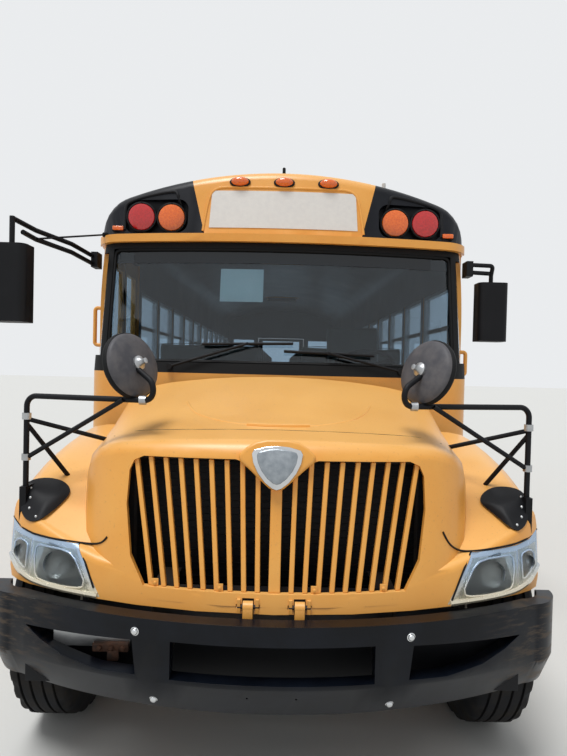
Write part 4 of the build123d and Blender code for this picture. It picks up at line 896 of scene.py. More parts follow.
def add_headlamps():
    housing = carried_over("headlamps", 0.004)
    add_pockets(housing)
    finished(shaded(housing), "headlamp_housings", LAMP_SHELL, "headlamps", body="hood")
    paint_faces(housing, REFLECTOR, lambda c: abs(c.x) < CHAMBERS_PART_X and sunk(c))
    paint_faces(housing, HAZY_AMBER, lambda c: abs(c.x) > CHAMBERS_PART_X and sunk(c))
    bowls, bulbs, covers, feet = [], [], [], []
    for side in SIDES:
        for x, z, r, depth in LAMP_BOWLS:
            place = (side * x, front_point(side * x, z, "headlamps")[0].y + depth, z)
            rows = [(0.30 * r, 0.002), (0.62 * r, 0.006), (0.86 * r, 0.014), (r, 0.026), (1.04 * r, 0.027),
                    (1.04 * r, 0.0)]
            bowls.append(turned(rows, place, -ALONG_Y, 32))
            bulbs.append(turned(BULB_ROWS, place, -ALONG_Y, 16))
        for corners in LAMP_COVERS:
            ring = [(side * x, z) for x, z in corners]
            ring = ring if side > 0 else [ring[n] for n in (1, 0, 3, 2)]
            covers.append(draped("headlamps", ring, 8, 0.003, 0.002))
        foot = laid([(side * x, z) for x, z in LAMP_FOOT], -0.003, "headlamps", "hood")
        feet.append(tube([place for place in foot if place.y < NOSE_FLANK_Y], 0.013))
    finished(bowls, "headlamp_bowls", REFLECTOR, body="hood")
    finished(bulbs, "headlamp_bulbs", LAMP_SHELL, body="hood")
    finished(covers, "headlamp_covers", CLEAR_COVER, body="hood")
    finished(feet, "headlamp_lower_lips", LAMP_SHELL, body="hood")


add_hood()
add_hood_seams()
add_badge()
add_grille_tabs()
add_headlamps()


# Front bumper: scuffed enamelled steel with bright bolts, a blank plate and a rusty bracket behind it

BUMPER_BOLTS = ((0.502, 0.779), (0.439, 0.505))
WASHER_ROWS = [(0.016, 0), (0.016, 0.003), (0.014, 0.004)]
BOLT_ROWS = [(0.013, 0.003), (0.0125, 0.008), (0.008, 0.013), (0.002, 0.0145)]
BRACKET_BOLT, BRACKET_BOLT_XS = [(0.010, 0), (0.010, 0.007), (0.006, 0.010)], (-0.672, -0.625, -0.580)


def add_bumper():
    finished(carried_over("front_bumper", 0.007, 3), "bumper_bar", SCUFFED_BLACK, "front_bumper")
    bolts, washers = [], []
    for side in SIDES:
        for x, z in BUMPER_BOLTS:
            spot = front_point(side * x, z, "front_bumper")
            washers.append(turned(WASHER_ROWS, *spot, 24))
            bolts.append(turned(BOLT_ROWS, *spot, 20))
    finished(washers + bolts, "bumper_bolts", CHROME)
    guard = slab((-0.99, at(0.262), 0.470), (0.99, at(0.270), 0.800), 0.003)
    finished(guard, "bumper_inner_panel", ABS)
    blank = slab((-0.86, at(0.215), 0.640), (-0.560, at(0.223), 0.738), 0.003)
    finished(blank, "bumper_back_plate", ALUMINIUM)
    bracket = [slab((-0.700, at(0.190), 0.630), (-0.560, at(0.214), 0.664), 0.004),
               slab((-0.640, at(0.180), 0.600), (-0.596, at(0.200), 0.640), 0.004)]
    for x in BRACKET_BOLT_XS:
        bracket.append(turned(BRACKET_BOLT, (x, at(0.190), 0.648), -ALONG_Y, 6))
    finished(bracket, "bumper_rusty_bracket", RUST)


add_bumper()


# What shows between the bars: the cooler's core and the dark shroud round it

FIN_COUNT, FIN_PITCH = 22, 0.029


def add_cooler():
    y0, y1 = at(0.392), at(0.399)
    core = [slab((-0.585, y0, 0.700), (0.585, y1, 1.350), 0.002)]
    for n in range(FIN_COUNT):
        z = 0.715 + n * FIN_PITCH
        core.append(slab((-0.580, y0 - 0.004, z), (0.580, y0, z + 0.004)))
    finished(core, "cooler_core", ABS)
    shroud = [slab((-0.700, at(0.404), 0.66), (-0.588, at(0.412), 1.33), 0.002),
              slab((0.588, at(0.404), 0.66), (0.700, at(0.412), 1.33), 0.002),
              slab((-0.60, at(0.300), 0.600), (0.60, at(0.430), 0.606), 0.002)]
    finished(shroud, "cooler_shroud", ABS)


# Mirrors on the fenders: fan-shaped bases, domed heads with their rims and clamps

# Outline and rivets of each side's gusset, as places in the photograph
GUSSETS = {
    -1: [(20, 482), (20, 513), (28, 522), (37, 522), (52, 512), (66, 499), (71, 492), (69, 486), (62, 480),
         (45, 477)],
    1: [(529, 491), (529, 521), (521, 531), (514, 531), (498, 517), (484, 506), (479, 501), (482, 494),
        (490, 488), (504, 486)],
}
GUSSET_RIVETS = {
    -1: [(31, 488), (30.5, 497.5), (29.5, 508), (36, 516.5)],
    1: [(521, 497), (521.5, 507), (521.5, 517), (517, 525)],
}
GUSSET_LIFT, GUSSET_PEAK, FENDER_S = 0.012, 0.055, 0.500
RIVET_ROWS = [(0.006, -0.002), (0.0055, 0.002), (0.003, 0.004)]
CROSS_AT, CROSS_FACING = Vector((0.621, at(0.400), 1.742)), Vector((0.824, 0.497, -0.272)).normalized()
CROSS_BACK = [(0.134, 0.020), (0.137, 0.012), (0.138, -0.002), (0.135, -0.014), (0.126, -0.022),
              (0.096, -0.031), (0.060, -0.036), (0.026, -0.038), (0.006, -0.038)]
CROSS_BEAD = [(0.139, -0.004), (0.143, 0.000), (0.144, 0.010), (0.142, 0.018), (0.136, 0.023), (0.130, 0.024)]
CROSS_GLASS = [(0.131, 0.019), (0.127, 0.027), (0.100, 0.038), (0.064, 0.046), (0.030, 0.050), (0.006, 0.051)]
CROSS_CLAMP = [(0.030, 0), (0.030, 0.010), (0.022, 0.014), (0.012, 0.030), (0.012, 0.044), (0.008, 0.046)]
BAR_CLAMP = [(0.013, 0), (0.019, 0.0), (0.019, 0.028), (0.013, 0.028)]
BAR_CLAMPS = ((1.090, 0.470, 1.512, ALONG_Z), (1.090, 0.470, 1.335, ALONG_Z), (0.560, 0.350, 1.600, ALONG_X))


def fender_place(px, py):
    """A place over the fender on a sight line, or over its outer edge where the line passes beside it."""
    found = seen(px, py, "hood")
    if found is None:
        return on_sight(px, py, FENDER_S)
    return found[0] + (CAMERA_AT - found[0]).normalized() * GUSSET_LIFT


def add_gussets():
    """Moulded black gusset with a row of rivets where each mirror arm stands on its fender."""
    fans, rivets = [], []
    for side, pixels in GUSSETS.items():
        places = [fender_place(px, py) for px, py in pixels]
        deselect()
        bpy.ops.mesh.primitive_circle_add(vertices=len(places), radius=1, fill_type="TRIFAN")
        fan = bpy.context.object
        ring = [vertex for vertex in fan.data.vertices if vertex.co.length > 0.5]
        middle = sum(places, Vector()) / len(places)
        for vertex in fan.data.vertices:
            vertex.co = middle + (CAMERA_AT - middle).normalized() * GUSSET_PEAK
        for vertex, place in zip(ring, places):
            vertex.co = place
        shape_with(fan, "SUBSURF", levels=2, boundary_smooth="PRESERVE_CORNERS")
        shape_with(fan, "SOLIDIFY", thickness=0.006, offset=0.0)
        fans.append(shaded(outwards(fan), 50))
        bpy.context.view_layer.update()
        for px, py in GUSSET_RIVETS[side]:
            hit, place, _, _ = fan.ray_cast(CAMERA_AT, sight(px, py))
            if hit:
                rivets.append(turned(RIVET_ROWS, place, (CAMERA_AT - place).normalized(), 12))
    finished(fans, "mirror_arm_gussets", ABS, body="hood")
    finished(rivets, "mirror_arm_rivets", ALUMINIUM, body="hood")


def add_cross_mirrors():
    """Domed mirrors: a grey moulded back, a black rim bead, the convex glass, and the arm's clamps."""
    heads = [[Vector((side * v.x, v.y, v.z)) for v in (CROSS_AT, CROSS_FACING)] for side in SIDES]
    for rows, name, material in ((CROSS_BACK, "cross_mirror_backs", MIRROR_BACK),
                                 (CROSS_BEAD, "cross_mirror_rims", GASKET),
                                 (CROSS_GLASS, "cross_mirror_glasses", CHROME)):
        finished([turned(rows, *head, 56) for head in heads], name, material, body="hood")
    clamps = [turned(CROSS_CLAMP, place - facing * 0.038, -facing, 24) for place, facing in heads]
    for side in SIDES:
        for x, station, z, axis in BAR_CLAMPS:
            clamps.append(turned(BAR_CLAMP, Vector((side * x, at(station), z)) - axis * 0.014, axis, 20))
    finished(clamps, "cross_mirror_clamps", ALUMINIUM, body="hood")


# Rear-view mirrors: moulded housings with a flat glass over a convex one

# Middle x, front station, foot, top, width and depth of each
REAR_VIEW = ((-1.445, 1.060, 1.956, 2.366, 0.200, 0.150), (1.410, 1.850, 1.955, 2.345, 0.196, 0.150))
STAY_FOOT, STAY_HEAD = Vector((-1.176, at(1.795), 2.598)), Vector((-1.388, at(1.240), 2.441))
STAY_SOCKET = [(0.002, -0.010), (0.016, -0.010), (0.016, 0.016), (0.002, 0.018)]


def add_rear_view_mirrors():
    finished(carried_over("rear_view_mirrors", 0.012, 3, 50), "rear_view_housings", ABS, "rear_view_mirrors")
    glasses, trims, seams = [], [], []
    for x, s, z0, z1, width, depth in REAR_VIEW:
        back = at(s + depth / 2)
        half = width / 2
        split = z0 + 0.30 * (z1 - z0)
        for low, high in ((z0 + 0.022, split - 0.006), (split + 0.006, z1 - 0.022)):
            trims.append(slab((x - half + 0.040, back - 0.004, low - 0.006),
                              (x + half - 0.040, back + 0.003, high + 0.006), 0.0025))
            glasses.append(slab((x - half + 0.046, back, low), (x + half - 0.046, back + 0.005, high), 0.001))
        seams.append(slab((x - half - 0.0015, at(s + 0.030), z0 + 0.012),
                          (x + half + 0.0015, at(s + 0.036), z1 - 0.012), 0.001))
    finished(trims, "rear_view_trims", GASKET)
    finished(glasses, "rear_view_glasses", CHROME)
    finished(seams, "rear_view_shell_seams", GASKET)
    socket = turned(STAY_SOCKET, STAY_FOOT, (STAY_HEAD - STAY_FOOT).normalized(), 16)
    rod = tube([STAY_FOOT, STAY_HEAD], 0.0065, 10, smooth=False)
    finished([rod, socket], "mirror_stay_rod", ABS)


# Windshield: black gasket, tinted band, the card behind the glass

SCREEN_X, SCREEN_LOW, SCREEN_TOP = 1.102, 1.771, 2.494
BAND_LOW = 2.405
SURROUND_END = at(1.845)
CARD_CORNERS = ((-0.392, 2.156), (-0.118, 2.156), (-0.118, 2.369), (-0.392, 2.369))


def on_screen(x, z, lift):
    """A place on the windshield's outer face, lifted off it."""
    return front_point(x, z, "body_glass")[0] - Vector((0, lift, 0))


def add_windshield():
    """Gasket bead round the opening, its flat black border, the dark band at the top, and the blank card."""
    x1, z0, z1 = SCREEN_X, SCREEN_LOW, SCREEN_TOP
    corners = [(-x1, z0), (x1, z0), (x1, z1), (-x1, z1)]
    ring = []
    for (xa, za), (xb, zb), steps in zip(corners, corners[1:] + corners[:1], (24, 8, 24, 8)):
        ring += [(xa + (xb - xa) * n / steps, za + (zb - za) * n / steps) for n in range(steps)]
    bead = tube([on_screen(x, z, 0.006) for x, z in ring], 0.013, 10, closed=True)
    finished(bead, "windshield_gasket", GASKET)
    band = [(-x1, BAND_LOW), (x1, BAND_LOW), (x1, z1), (-x1, z1)]
    finished(draped("body_glass", band, 12, 0.0015, 0.0012), "windshield_tint_band", TINT)
    surround = carried_over("windshield_frame", 0.004)
    cut_across(surround, (0, SURROUND_END, 0), ALONG_Y)
    finished(surround, "windshield_surround", YELLOW, "windshield_frame")
    paint_faces(surround, GASKET, lambda c: c.y < SURROUND_END and abs(c.x) < BODY_X + 0.004)
    card = plate([on_screen(x, z, -0.014) for x, z in CARD_CORNERS])
    shape_with(card, "SOLIDIFY", thickness=0.0012, offset=0.0)
    finished(card, "windshield_card", CARD)


add_cooler()
add_gussets()
add_cross_mirrors()
add_rear_view_mirrors()
add_windshield()


# Visor moulded round each pair of front lamps

# Places (inwards from the outer lamp, up from the lamps' middle) that the rim passes
VISOR = [(-0.300, -0.0860), (-0.302, 0.0000), (-0.306, 0.0731), (-0.285, 0.10492), (-0.200, 0.13588),
         (-0.060, 0.16512), (0.020, 0.17458), (0.042, 0.16856), (0.056, 0.1290), (0.086, 0.0344),
         (0.104, -0.0516), (0.104, -0.0903)]
VISOR_X = 0.748


def add_lamp_visors():
    """A raised rim that starts under the outer lamp, passes over both and ends under the inner one."""
    rims = []
    for side in SIDES:
        points = [(side * (VISOR_X - across), LAMP_Z + up) for across, up in VISOR]
        rims.append(tube(laid(points, 0.0, "front_cap"), 0.011))
    finished(rims, "lamp_visors", ABS)


# Tail lamps: round lenses in rubber rings on the rear wall

TAIL_LAMPS = (("red", RED_LENS, 0.985, 1.480, 0.088), ("amber", AMBER_LENS, 1.010, 1.250, 0.060))


def add_tail_lamps():
    for colour, material, x, z, r in TAIL_LAMPS:
        ring = [(r + 0.012, 0), (r + 0.012, 0.014), (r + 0.008, 0.022), (r + 0.002, 0.024),
                (r - 0.002, 0.018)]
        dome = [(r, 0.012), (r, 0.026), (r * 0.93, 0.036), (r * 0.7, 0.041), (r * 0.35, 0.044),
                (r * 0.1, 0.045)]
        places = [Vector((side * x, REAR_Y, z)) for side in SIDES]
        rings, glows = (merged([turned(rows, place, ALONG_Y) for place in places]) for rows in (ring, dome))
        finished(rings, f"{colour}_tail_rings", GASKET, f"{colour}_lamps")
        finished(glows, f"{colour}_tail_lenses", material)


# Wheels: tyres with ribs and shoulder lugs, rims with their nuts

TYRE_STEPS = 112
TYRE_HALF_WIDTH = 0.139
# Cross-section (x, radius) of one half, from the bead to the tread's edge
HALF_TYRE = [(0.100, 0.290), (0.112, 0.300), (0.128, 0.345), (0.139, 0.400), (0.134, 0.450), (0.124, 0.492),
             (0.119, 0.506), (0.110, 0.519), (0.100, 0.5235)]
HALF_GROOVE = [(0.006, 0.525), (0.004, 0.512), (-0.004, 0.512), (-0.006, 0.525)]
GROOVE_XS = (0.072, 0.026)
TYRE_INSIDE = [(-0.100, 0.320), (0.100, 0.320)]
LUG_DEPTH, LUG_FROM_R, LUG_FROM_X = 0.012, 0.500, 0.085
SINGLE_WIDTH = 0.40
NUT_ROWS = [(0.0165, 0), (0.0165, 0.020), (0.012, 0.024), (0.0095, 0.024), (0.0095, 0.036), (0.007, 0.038)]
NUT_COUNT, NUT_CIRCLE = 10, 0.1425


def add_tyre(x, y, z):
    """A tyre turned round its axle, its shoulders sunk at two of every four steps to leave lugs."""
    outer = HALF_TYRE + [(middle + across, r) for middle in GROOVE_XS for across, r in HALF_GROOVE]
    profile = outer + [(-across, r) for across, r in reversed(outer)] + TYRE_INSIDE
    deselect()
    bpy.ops.mesh.primitive_circle_add(vertices=len(profile), radius=1, fill_type="NOTHING")
    piece = bpy.context.object
    for vertex, (across, r) in zip(piece.data.vertices, profile):
        vertex.co = (x + across, y, z + r)
    edited(piece, bpy.ops.mesh.spin, steps=TYRE_STEPS, angle=2 * math.pi, center=(x, y, z), axis=ALONG_X)
    edited(piece, bpy.ops.mesh.remove_doubles, threshold=0.00005)
    outwards(piece)
    step = 2 * math.pi / TYRE_STEPS
    for vertex in piece.data.vertices:
        dy, dz = vertex.co.y - y, vertex.co.z - z
        r = math.hypot(dy, dz)
        which = round(math.atan2(dy, dz) / step) % 4
        if r > LUG_FROM_R and abs(vertex.co.x - x) > LUG_FROM_X and which in (0, 1):
            vertex.co.y = y + dy * (r - LUG_DEPTH) / r
            vertex.co.z = z + dz * (r - LUG_DEPTH) / r
    return shaded(piece, 38)


def add_wheels():
    """Tyres, rims and nuts of the front wheels and of the rear pairs."""
    for axle, plural in (("front", ""), ("rear", "s")):
        for side, word in SIDE_WORDS.items():
            node, rim, body = (f"{kind}{plural}_{axle}_{word}" for kind in ("tyre", "rim", "wheel"))
            y = at(AXLE_S[axle])
            low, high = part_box(node)
            middles = [low.x + TYRE_HALF_WIDTH, high.x - TYRE_HALF_WIDTH]
            if high.x - low.x < SINGLE_WIDTH:
                middles = [(low.x + high.x) / 2]
            tyres = merged([add_tyre(x, y, AXLE_Z) for x in middles])
            finished(tyres, node.replace("tyre", "ribbed_tyre"), RUBBER, node, body=body)
            finished(carried_over(rim, 0.003, 2, 30), f"{rim}_disc", RIM_PAINT, rim, body=body)
            seats = []
            for n in range(NUT_COUNT):
                a = 2 * math.pi * (n + 0.5) / NUT_COUNT
                station = AXLE_S[axle] + NUT_CIRCLE * math.cos(a)
                found = side_place(side, station, AXLE_Z + NUT_CIRCLE * math.sin(a), rim)
                if found:
                    seats.append(found[0] - side * 0.001 * ALONG_X)
            studded(NUT_ROWS, 6, side, seats, f"{rim}_nuts", CHROME, body=body, slot="rim_paint")


add_lamp_visors()
add_tail_lamps()
add_wheels()


# Seats: padded cushions on steel frames

SEAT_X0, SEAT_X1 = 0.175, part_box("passenger_seats_left")[1].x
SEAT_START, SEAT_PITCH, SEAT_ROWS = 2.960, 0.690, 11
PAD_CAP, PAD_SWELL, PAD_FRAMES, PAD_PRESSURE = 0.014, 0.010, 16, 4.0
PIPING_ROUND = 0.030
DRIVER_X, DRIVER_S = 0.620, 2.440


def pad(low, high, edge, depth_axis):
    """A padded form: a rounded box blown up by cloth pressure, its far side kept flat on what carries it."""
    inner_low = [low[n] + (PAD_SWELL if n != depth_axis else 0.0) for n in range(3)]
    inner_high = [high[n] - PAD_SWELL for n in range(3)]
    piece = slab(inner_low, inner_high, edge, 3)
    edited(piece, bpy.ops.mesh.subdivide, number_cuts=1)
    shape_with(piece, "REMESH", mode="VOXEL", voxel_size=0.014)
    rest = [vertex.co.copy() for vertex in piece.data.vertices]
    cloth = piece.modifiers.new("pressure", "CLOTH")
    cloth.settings.use_pressure = True
    cloth.settings.uniform_pressure_force = PAD_PRESSURE
    cloth.settings.effector_weights.gravity = 0.0
    for number in range(1, PAD_FRAMES + 1):
        bpy.context.scene.frame_set(number)
    take(piece)
    bpy.ops.object.modifier_apply(modifier=cloth.name)
    bpy.context.scene.frame_set(1)
    for vertex, start in zip(piece.data.vertices, rest):
        move = vertex.co - start
        if move.length > PAD_CAP:
            vertex.co = start + move * (PAD_CAP / move.length)
        for n in range(3):
            vertex.co[n] = min(max(vertex.co[n], low[n]), high[n] + 0.004)
    return shaded(piece, 60)


def piping(x0, x1, low, high, placed):
    """Sewn bead round the face of a pad: a rounded rectangle that a function puts in its plane."""
    r = PIPING_ROUND
    ring = [(x0 + r, low), (x1 - r, low), (x1, low + r), (x1, high - r), (x1 - r, high), (x0 + r, high),
            (x0, high - r), (x0, low + r)]
    return tube([placed(x, level) for x, level in ring], 0.0035, 8, closed=True)


def add_passenger_seats():
    """Eleven benches a side: the first is modelled, the others are its copies."""
    x0, x1, s = SEAT_X0, SEAT_X1, SEAT_START
    cushion = pad((x0, at(s), 1.385), (x1 - 0.004, at(s + 0.400), 1.462), 0.022, 2)
    back = pad((x0, at(s + 0.392), 1.400), (x1 - 0.004, at(s + 0.468), 1.960), 0.026, 1)
    trims = merged([piping(x0 + 0.006, x1 - 0.010, at(s + 0.006), at(s + 0.385), lambda x, y: (x, y, 1.452)),
                    piping(x0 + 0.006, x1 - 0.010, 1.420, 1.950, lambda x, z: (x, at(s + 0.398), z))])
    rail = [(x1 - 0.012, at(s + 0.02), 1.356), (x0 + 0.040, at(s + 0.02), 1.356),
            (x0 + 0.040, at(s + 0.38), 1.356), (x1 - 0.012, at(s + 0.38), 1.356)]
    steel = [slab((x0 + 0.010, at(s + 0.010), 1.366), (x1 - 0.006, at(s + 0.395), 1.386), 0.003),
             tube(rail, 0.012, 10),
             slab((x0 + 0.016, at(s + 0.050), 0.980), (x0 + 0.060, at(s + 0.400), 0.988), 0.002),
             slab((x0 + 0.032, at(s + 0.075), 1.130), (x0 + 0.044, at(s + 0.350), 1.160), 0.002)]
    for y in (at(s + 0.075), at(s + 0.340)):
        steel.append(slab((x0 + 0.026, y, 0.986), (x0 + 0.050, y + 0.026, 1.362), 0.003))
    masters = {"left": (cushion, back, trims, merged(steel))}
    masters["right"] = tuple(flipped(piece) for piece in masters["left"])
    for word, (cushion, back, trims, steel) in masters.items():
        moves = [(0, row * SEAT_PITCH, 0) for row in range(SEAT_ROWS)]
        for row, move in enumerate(moves):
            for master, kind in ((cushion, "cushion"), (back, "back")):
                copy = finished(copy_at(master, move), f"bench_{kind}_{word}_{row + 1}", VINYL)
        finished([copy_at(trims, move) for move in moves], f"bench_piping_{word}", VINYL)
        frames = [copy_at(steel, move) for move in moves]
        finished(frames, f"bench_frames_{word}", BLACK, f"passenger_seats_{word}")
        for master in (cushion, back, trims, steel):
            bpy.data.objects.remove(master)


def add_driver_seat():
    x, s = DRIVER_X, DRIVER_S
    cushion = pad((x - 0.255, at(s), 1.405), (x + 0.255, at(s + 0.430), 1.500), 0.030, 2)
    finished(cushion, "driver_cushion", VINYL, "driver_seat")
    back = pad((x - 0.245, at(s + 0.380), 1.440), (x + 0.245, at(s + 0.470), 2.130), 0.030, 1)
    finished(leaned(back, Vector((x, at(s + 0.425), 1.440)), -7.0), "driver_back", VINYL)
    bellows = [(0.170, 0.0)]
    for n in range(7):
        bellows += [(0.172, 0.012 + n * 0.046), (0.150, 0.035 + n * 0.046)]
    base = [turned(bellows + [(0.165, 0.345)], (x, at(s + 0.220), 1.010), ALONG_Z, 32),
            slab((x - 0.175, at(s + 0.065), 0.980), (x + 0.175, at(s + 0.375), 1.012), 0.006),
            slab((x - 0.225, at(s + 0.020), 1.352), (x + 0.225, at(s + 0.420), 1.408), 0.010)]
    finished(base, "driver_seat_base", ABS)


add_passenger_seats()
add_driver_seat()


# Sides: rivets, side lamps, panel joints, stop arm; the sleeves of the nose's hinge

RAIL_ZS, SKIN_ZS = (1.655, 1.300, 0.960, 0.620), (1.708, 2.512)
RIVET_START, RIVET_PITCH, RIVET_COUNT = 2.700, 0.1, 78
SIDE_RIVET = [(0.0075, 0), (0.0070, 0.0022), (0.0040, 0.0036), (0.0012, 0.0040)]
WINDOW_START, WINDOW_PITCH, WINDOW_COUNT, WINDOW_W = 2.740, 0.712, 11, 0.632
PILLARS = [WINDOW_START + n * WINDOW_PITCH - (WINDOW_PITCH - WINDOW_W) / 2 for n in range(WINDOW_COUNT + 1)]
PANEL_ROWS = ((0.650, 0.935), (0.985, 1.275), (1.325, 1.630))
JOINT_RIVET = [(0.0065, 0), (0.0055, 0.0022), (0.0012, 0.0032)]
# Colour, finish and places (station, z) of the lamps on each side
SIDE_LAMPS = (("amber", AMBER_LENS, ((2.78, 2.470), (5.95, 1.180))),
              ("red", RED_LENS, ((10.30, 2.470), (10.05, 1.180))))
STOP_Y, STOP_Z, STOP_FACE_X = at(3.0785), 1.475, 1.259
STOP_BORDER_X, STOP_BORDER_R = 1.2602, 0.236
STOP_RING = [(0.052, 0), (0.052, 0.010), (0.046, 0.012), (0.044, 0.008)]
STOP_LENS = [(0.045, 0.004), (0.044, 0.014), (0.034, 0.020), (0.016, 0.023), (0.004, 0.024)]
HINGE_X, HINGE_Y, HINGE_Z = 0.096, at(0.095), 0.860
HINGE_R, HINGE_HALF = 0.0212, 0.0185


def add_side_rivets():
    """Rivet rows along the rub rails and under the windows."""
    for side, word in SIDE_WORDS.items():
        rails, skins = [], []
        wall = f"wall_{word}"
        for n in range(RIVET_COUNT):
            station = RIVET_START + n * RIVET_PITCH
            spots = [side_place(side, station, z, "rub_rails", wall) for z in RAIL_ZS]
            rails += [spot[0] for spot in spots if spot and abs(spot[0].x) > BODY_X + 0.002]
            spots = [side_place(side, station + RIVET_PITCH / 2, z, wall, "roof") for z in SKIN_ZS]
            skins += [spot[0] for spot in spots if spot and abs(spot[1].x) > 0.9]
        for places, kind, material in ((rails, "rail", BLACK), (skins, "panel", YELLOW)):
            studded(SIDE_RIVET, 12, side, places, f"{kind}_rivets_{word}", material)


def add_side_lamps():
    """Amber and red side markers on their bases."""
    for colour, material, spots in SIDE_LAMPS:
        bases, glows = [], []
        for side in SIDES:
            for station, z in spots:
                found = side_place(side, station, z, f"wall_{SIDE_WORDS[side]}", "roof")
                if found:
                    middle = found[0] + side * 0.003 * ALONG_X
                    bases.append(block(middle, (0.007, 0.052, 0.026), 0.004))
                    middle = found[0] + side * 0.014 * ALONG_X
                    glows.append(block(middle, (0.008, 0.046, 0.021), 0.007, 3))
        finished(bases, f"side_{colour}_bases", ABS)
        finished(glows, f"side_{colour}_lenses", material)


def add_panel_joints():
    """Upright joints of the side sheets, each with its column of rivets."""
    for side, word in SIDE_WORDS.items():
        joints, heads = [], []
        for station in PILLARS[1:-1:2]:
            for z0, z1 in PANEL_ROWS:
                ends = [side_place(side, station, z, f"wall_{word}") for z in (z0, z1)]
                if any(end is None or abs(end[0].x) < BODY_X - 0.01 for end in ends):
                    continue
                x = ends[0][0].x
                joints.append(slab((x - 0.001, at(station - 0.004), z0),
                                   (x + 0.0015, at(station + 0.004), z1), 0.0005))
                heads += [(x, at(station + 0.018), z0 + (z1 - z0) * (k + 0.5) / 5) for k in range(5)]
        finished(joints, f"panel_joints_{word}", YELLOW)
        studded(JOINT_RIVET, 10, side, heads, f"joint_rivets_{word}", YELLOW)


def add_stop_arm():
    """Border and the two flashing lamps on the outer face of the blank plate."""
    turns = [math.radians(22.5 + 45 * n) for n in range(8)]
    ring = [(STOP_BORDER_X, STOP_Y + STOP_BORDER_R * math.cos(a), STOP_Z + STOP_BORDER_R * math.sin(a))
            for a in turns]
    border = tube(ring, 0.0055, 8, smooth=False, closed=True)
    finished(border, "stop_plate_border", SIGN_SHEET, body="stop_arm", slot="red_sign")
    places = [(STOP_FACE_X, STOP_Y, STOP_Z + dz) for dz in (-0.150, 0.150)]
    for rows, name, material in ((STOP_RING, "stop_lamp_rings", ABS),
                                 (STOP_LENS, "stop_lamp_lenses", RED_LENS)):
        pair = merged([turned(rows, place, ALONG_X, 32) for place in places])
        finished(pair, name, material, body="stop_arm", slot="red_sign")


def add_hinge_brackets():
    """Yellow sleeves on the two lugs that the nose tilts on."""
    sleeve = [(0.002, 0.0), (HINGE_R, 0.0), (HINGE_R, 2 * HINGE_HALF), (0.002, 2 * HINGE_HALF)]
    sleeves = []
    for side in SIDES:
        x0, x1 = side * HINGE_X - HINGE_HALF, side * HINGE_X + HINGE_HALF
        sleeves.append(slab((x0, HINGE_Y - HINGE_R, 0.770), (x1, HINGE_Y + HINGE_R, HINGE_Z), 0.002))
        sleeves.append(turned(sleeve, (x0, HINGE_Y, HINGE_Z), ALONG_X, 32))
    finished(sleeves, "nose_hinge_brackets", YELLOW)


add_side_rivets()
add_side_lamps()
add_panel_joints()
add_stop_arm()
add_hinge_brackets()


# Roof: raised straps over the bows, aerial and post on the brow

BOW_STEPS = 32
# Sight line's px, name, radius, height and finish
ROOF_FITTINGS = ((284, "aerial_stub", 0.011, 0.085, ABS), (384, "white_dome_post", 0.013, 0.070, SIGN_SHEET))
FITTING_PY, FITTING_S = 178, 1.960


def add_roof_straps():
    """One strap over each roof bow, from eave to eave."""
    straps = []
    for station in PILLARS:
        places = []
        for k in range(BOW_STEPS + 1):
            a = math.radians(4 + 172 * k / BOW_STEPS)
            origin = Vector((2.6 * math.cos(a), at(station), 2.30 + 2.2 * math.sin(a)))
            found = struck(origin, (Vector((0, at(station), 2.30)) - origin).normalized(), "roof")
            if found and found[0].z > EAVE_Z + 0.010:
                places.append(found[0] + found[1] * 0.001)
        straps.append(tube(places, 0.0045, 8))
    finished(straps, "roof_bow_straps", YELLOW)


def add_roof_fittings():
    """Aerial stub and pale post that stand on the brow of the roof."""
    for px, name, radius, height, material in ROOF_FITTINGS:
        x = on_sight(px, FITTING_PY, FITTING_S).x
        foot = top_point(x, FITTING_S, "roof", "front_cap")[0] - 0.004 * ALONG_Z
        rows = [(radius * 2.2, 0), (radius * 2.2, 0.006), (radius, 0.012), (radius, height),
                (radius * 0.6, height + 0.005)]
        finished(turned(rows, foot, ALONG_Z, 24), name, material, slot="dark_plastic")


# Doors: rubber edges, handle and hinges, beads round the rear panes

HINGE_BOLT = [(0.007, 0), (0.006, 0.003), (0.002, 0.0045)]
REAR_HINGE_ZS = (1.10, 1.66, 2.24)
REAR_PANE_FROM = REAR_Y - 0.12


def add_entrance_edges():
    """Black rubber along the meeting edges of the entrance doors."""
    for word in ("front", "rear"):
        low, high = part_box(f"entrance_door_{word}")
        y = high.y - 0.006 if word == "front" else low.y + 0.006
        strip = slab((low.x - 0.003, y - 0.008, low.z + 0.010),
                     (high.x + 0.003, y + 0.004, high.z - 0.010), 0.002)
        finished(strip, f"entrance_edge_{word}", GASKET, body=f"entrance_door_{word}")


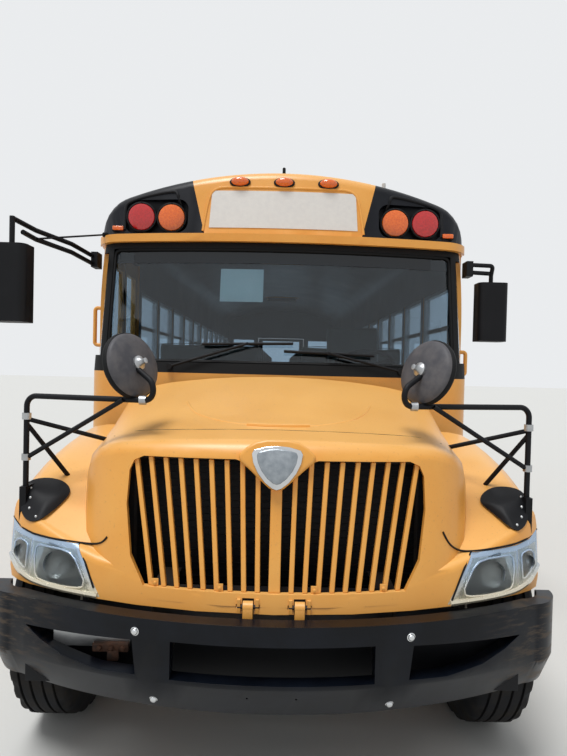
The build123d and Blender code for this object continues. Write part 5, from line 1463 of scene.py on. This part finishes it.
def add_rear_door_fittings():
    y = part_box("rear_door")[1].y
    handle = tube([(0.450, y - 0.004, 1.650), (0.450, y + 0.030, 1.650), (0.440, y + 0.040, 1.650),
                   (0.310, y + 0.040, 1.645), (0.290, y + 0.030, 1.630)], 0.010)
    foot = slab((0.412, y - 0.002, 1.600), (0.486, y + 0.006, 1.700), 0.003)
    finished([handle, foot], "rear_door_handle", CHROME, body="rear_door")
    hinges = []
    for z in REAR_HINGE_ZS:
        hinges.append(slab((-0.492, y - 0.001, z - 0.035), (-0.430, y + 0.005, z + 0.035), 0.002))
        for dz in (-0.018, 0.018):
            hinges.append(turned(HINGE_BOLT, (-0.452, y + 0.005, z + dz), ALONG_Y, 10))
    finished(hinges, "rear_door_hinges", YELLOW, body="rear_door")


def islands(node):
    """Boxes of a CAD node's separate solids."""
    mesh = cad[node].data
    parent = list(range(len(mesh.vertices)))

    def root(n):
        while parent[n] != n:
            parent[n] = parent[parent[n]]
            n = parent[n]
        return n

    same = {}
    for vertex in mesh.vertices:
        key = tuple(round(c, 5) for c in vertex.co)
        parent[root(vertex.index)] = root(same.setdefault(key, vertex.index))
    for edge in mesh.edges:
        parent[root(edge.vertices[0])] = root(edge.vertices[1])
    solids = {}
    for vertex in mesh.vertices:
        solids.setdefault(root(vertex.index), []).append(vertex.co)
    return [[Vector([pick(co[n] for co in places) for n in range(3)]) for pick in (min, max)]
            for places in solids.values()]


def add_glass_gaskets():
    """Rubber beads round the rear wall's and rear door's panes."""
    fixed = [pane for pane in islands("body_glass") if pane[0].y > REAR_PANE_FROM]
    for body, panes, y in (("chassis", fixed, REAR_Y - 0.002),
                           ("rear_door", islands("rear_door_glass"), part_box("rear_door")[1].y - 0.001)):
        beads = []
        for low, high in panes:
            ring = [(low.x, y, low.z), (high.x, y, low.z), (high.x, y, high.z), (low.x, y, high.z)]
            beads.append(tube(ring, 0.008, 8, smooth=False, closed=True))
        finished(beads, f"{body}_pane_beads", GASKET, body=body)


add_roof_straps()
add_roof_fittings()
add_entrance_edges()
add_rear_door_fittings()
add_glass_gaskets()


# The nodes are hidden last, because pieces are laid on them until then
for piece, replaced in stand_ins:
    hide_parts(*replaced)

bpy.context.scene.view_settings.view_transform = "Standard"
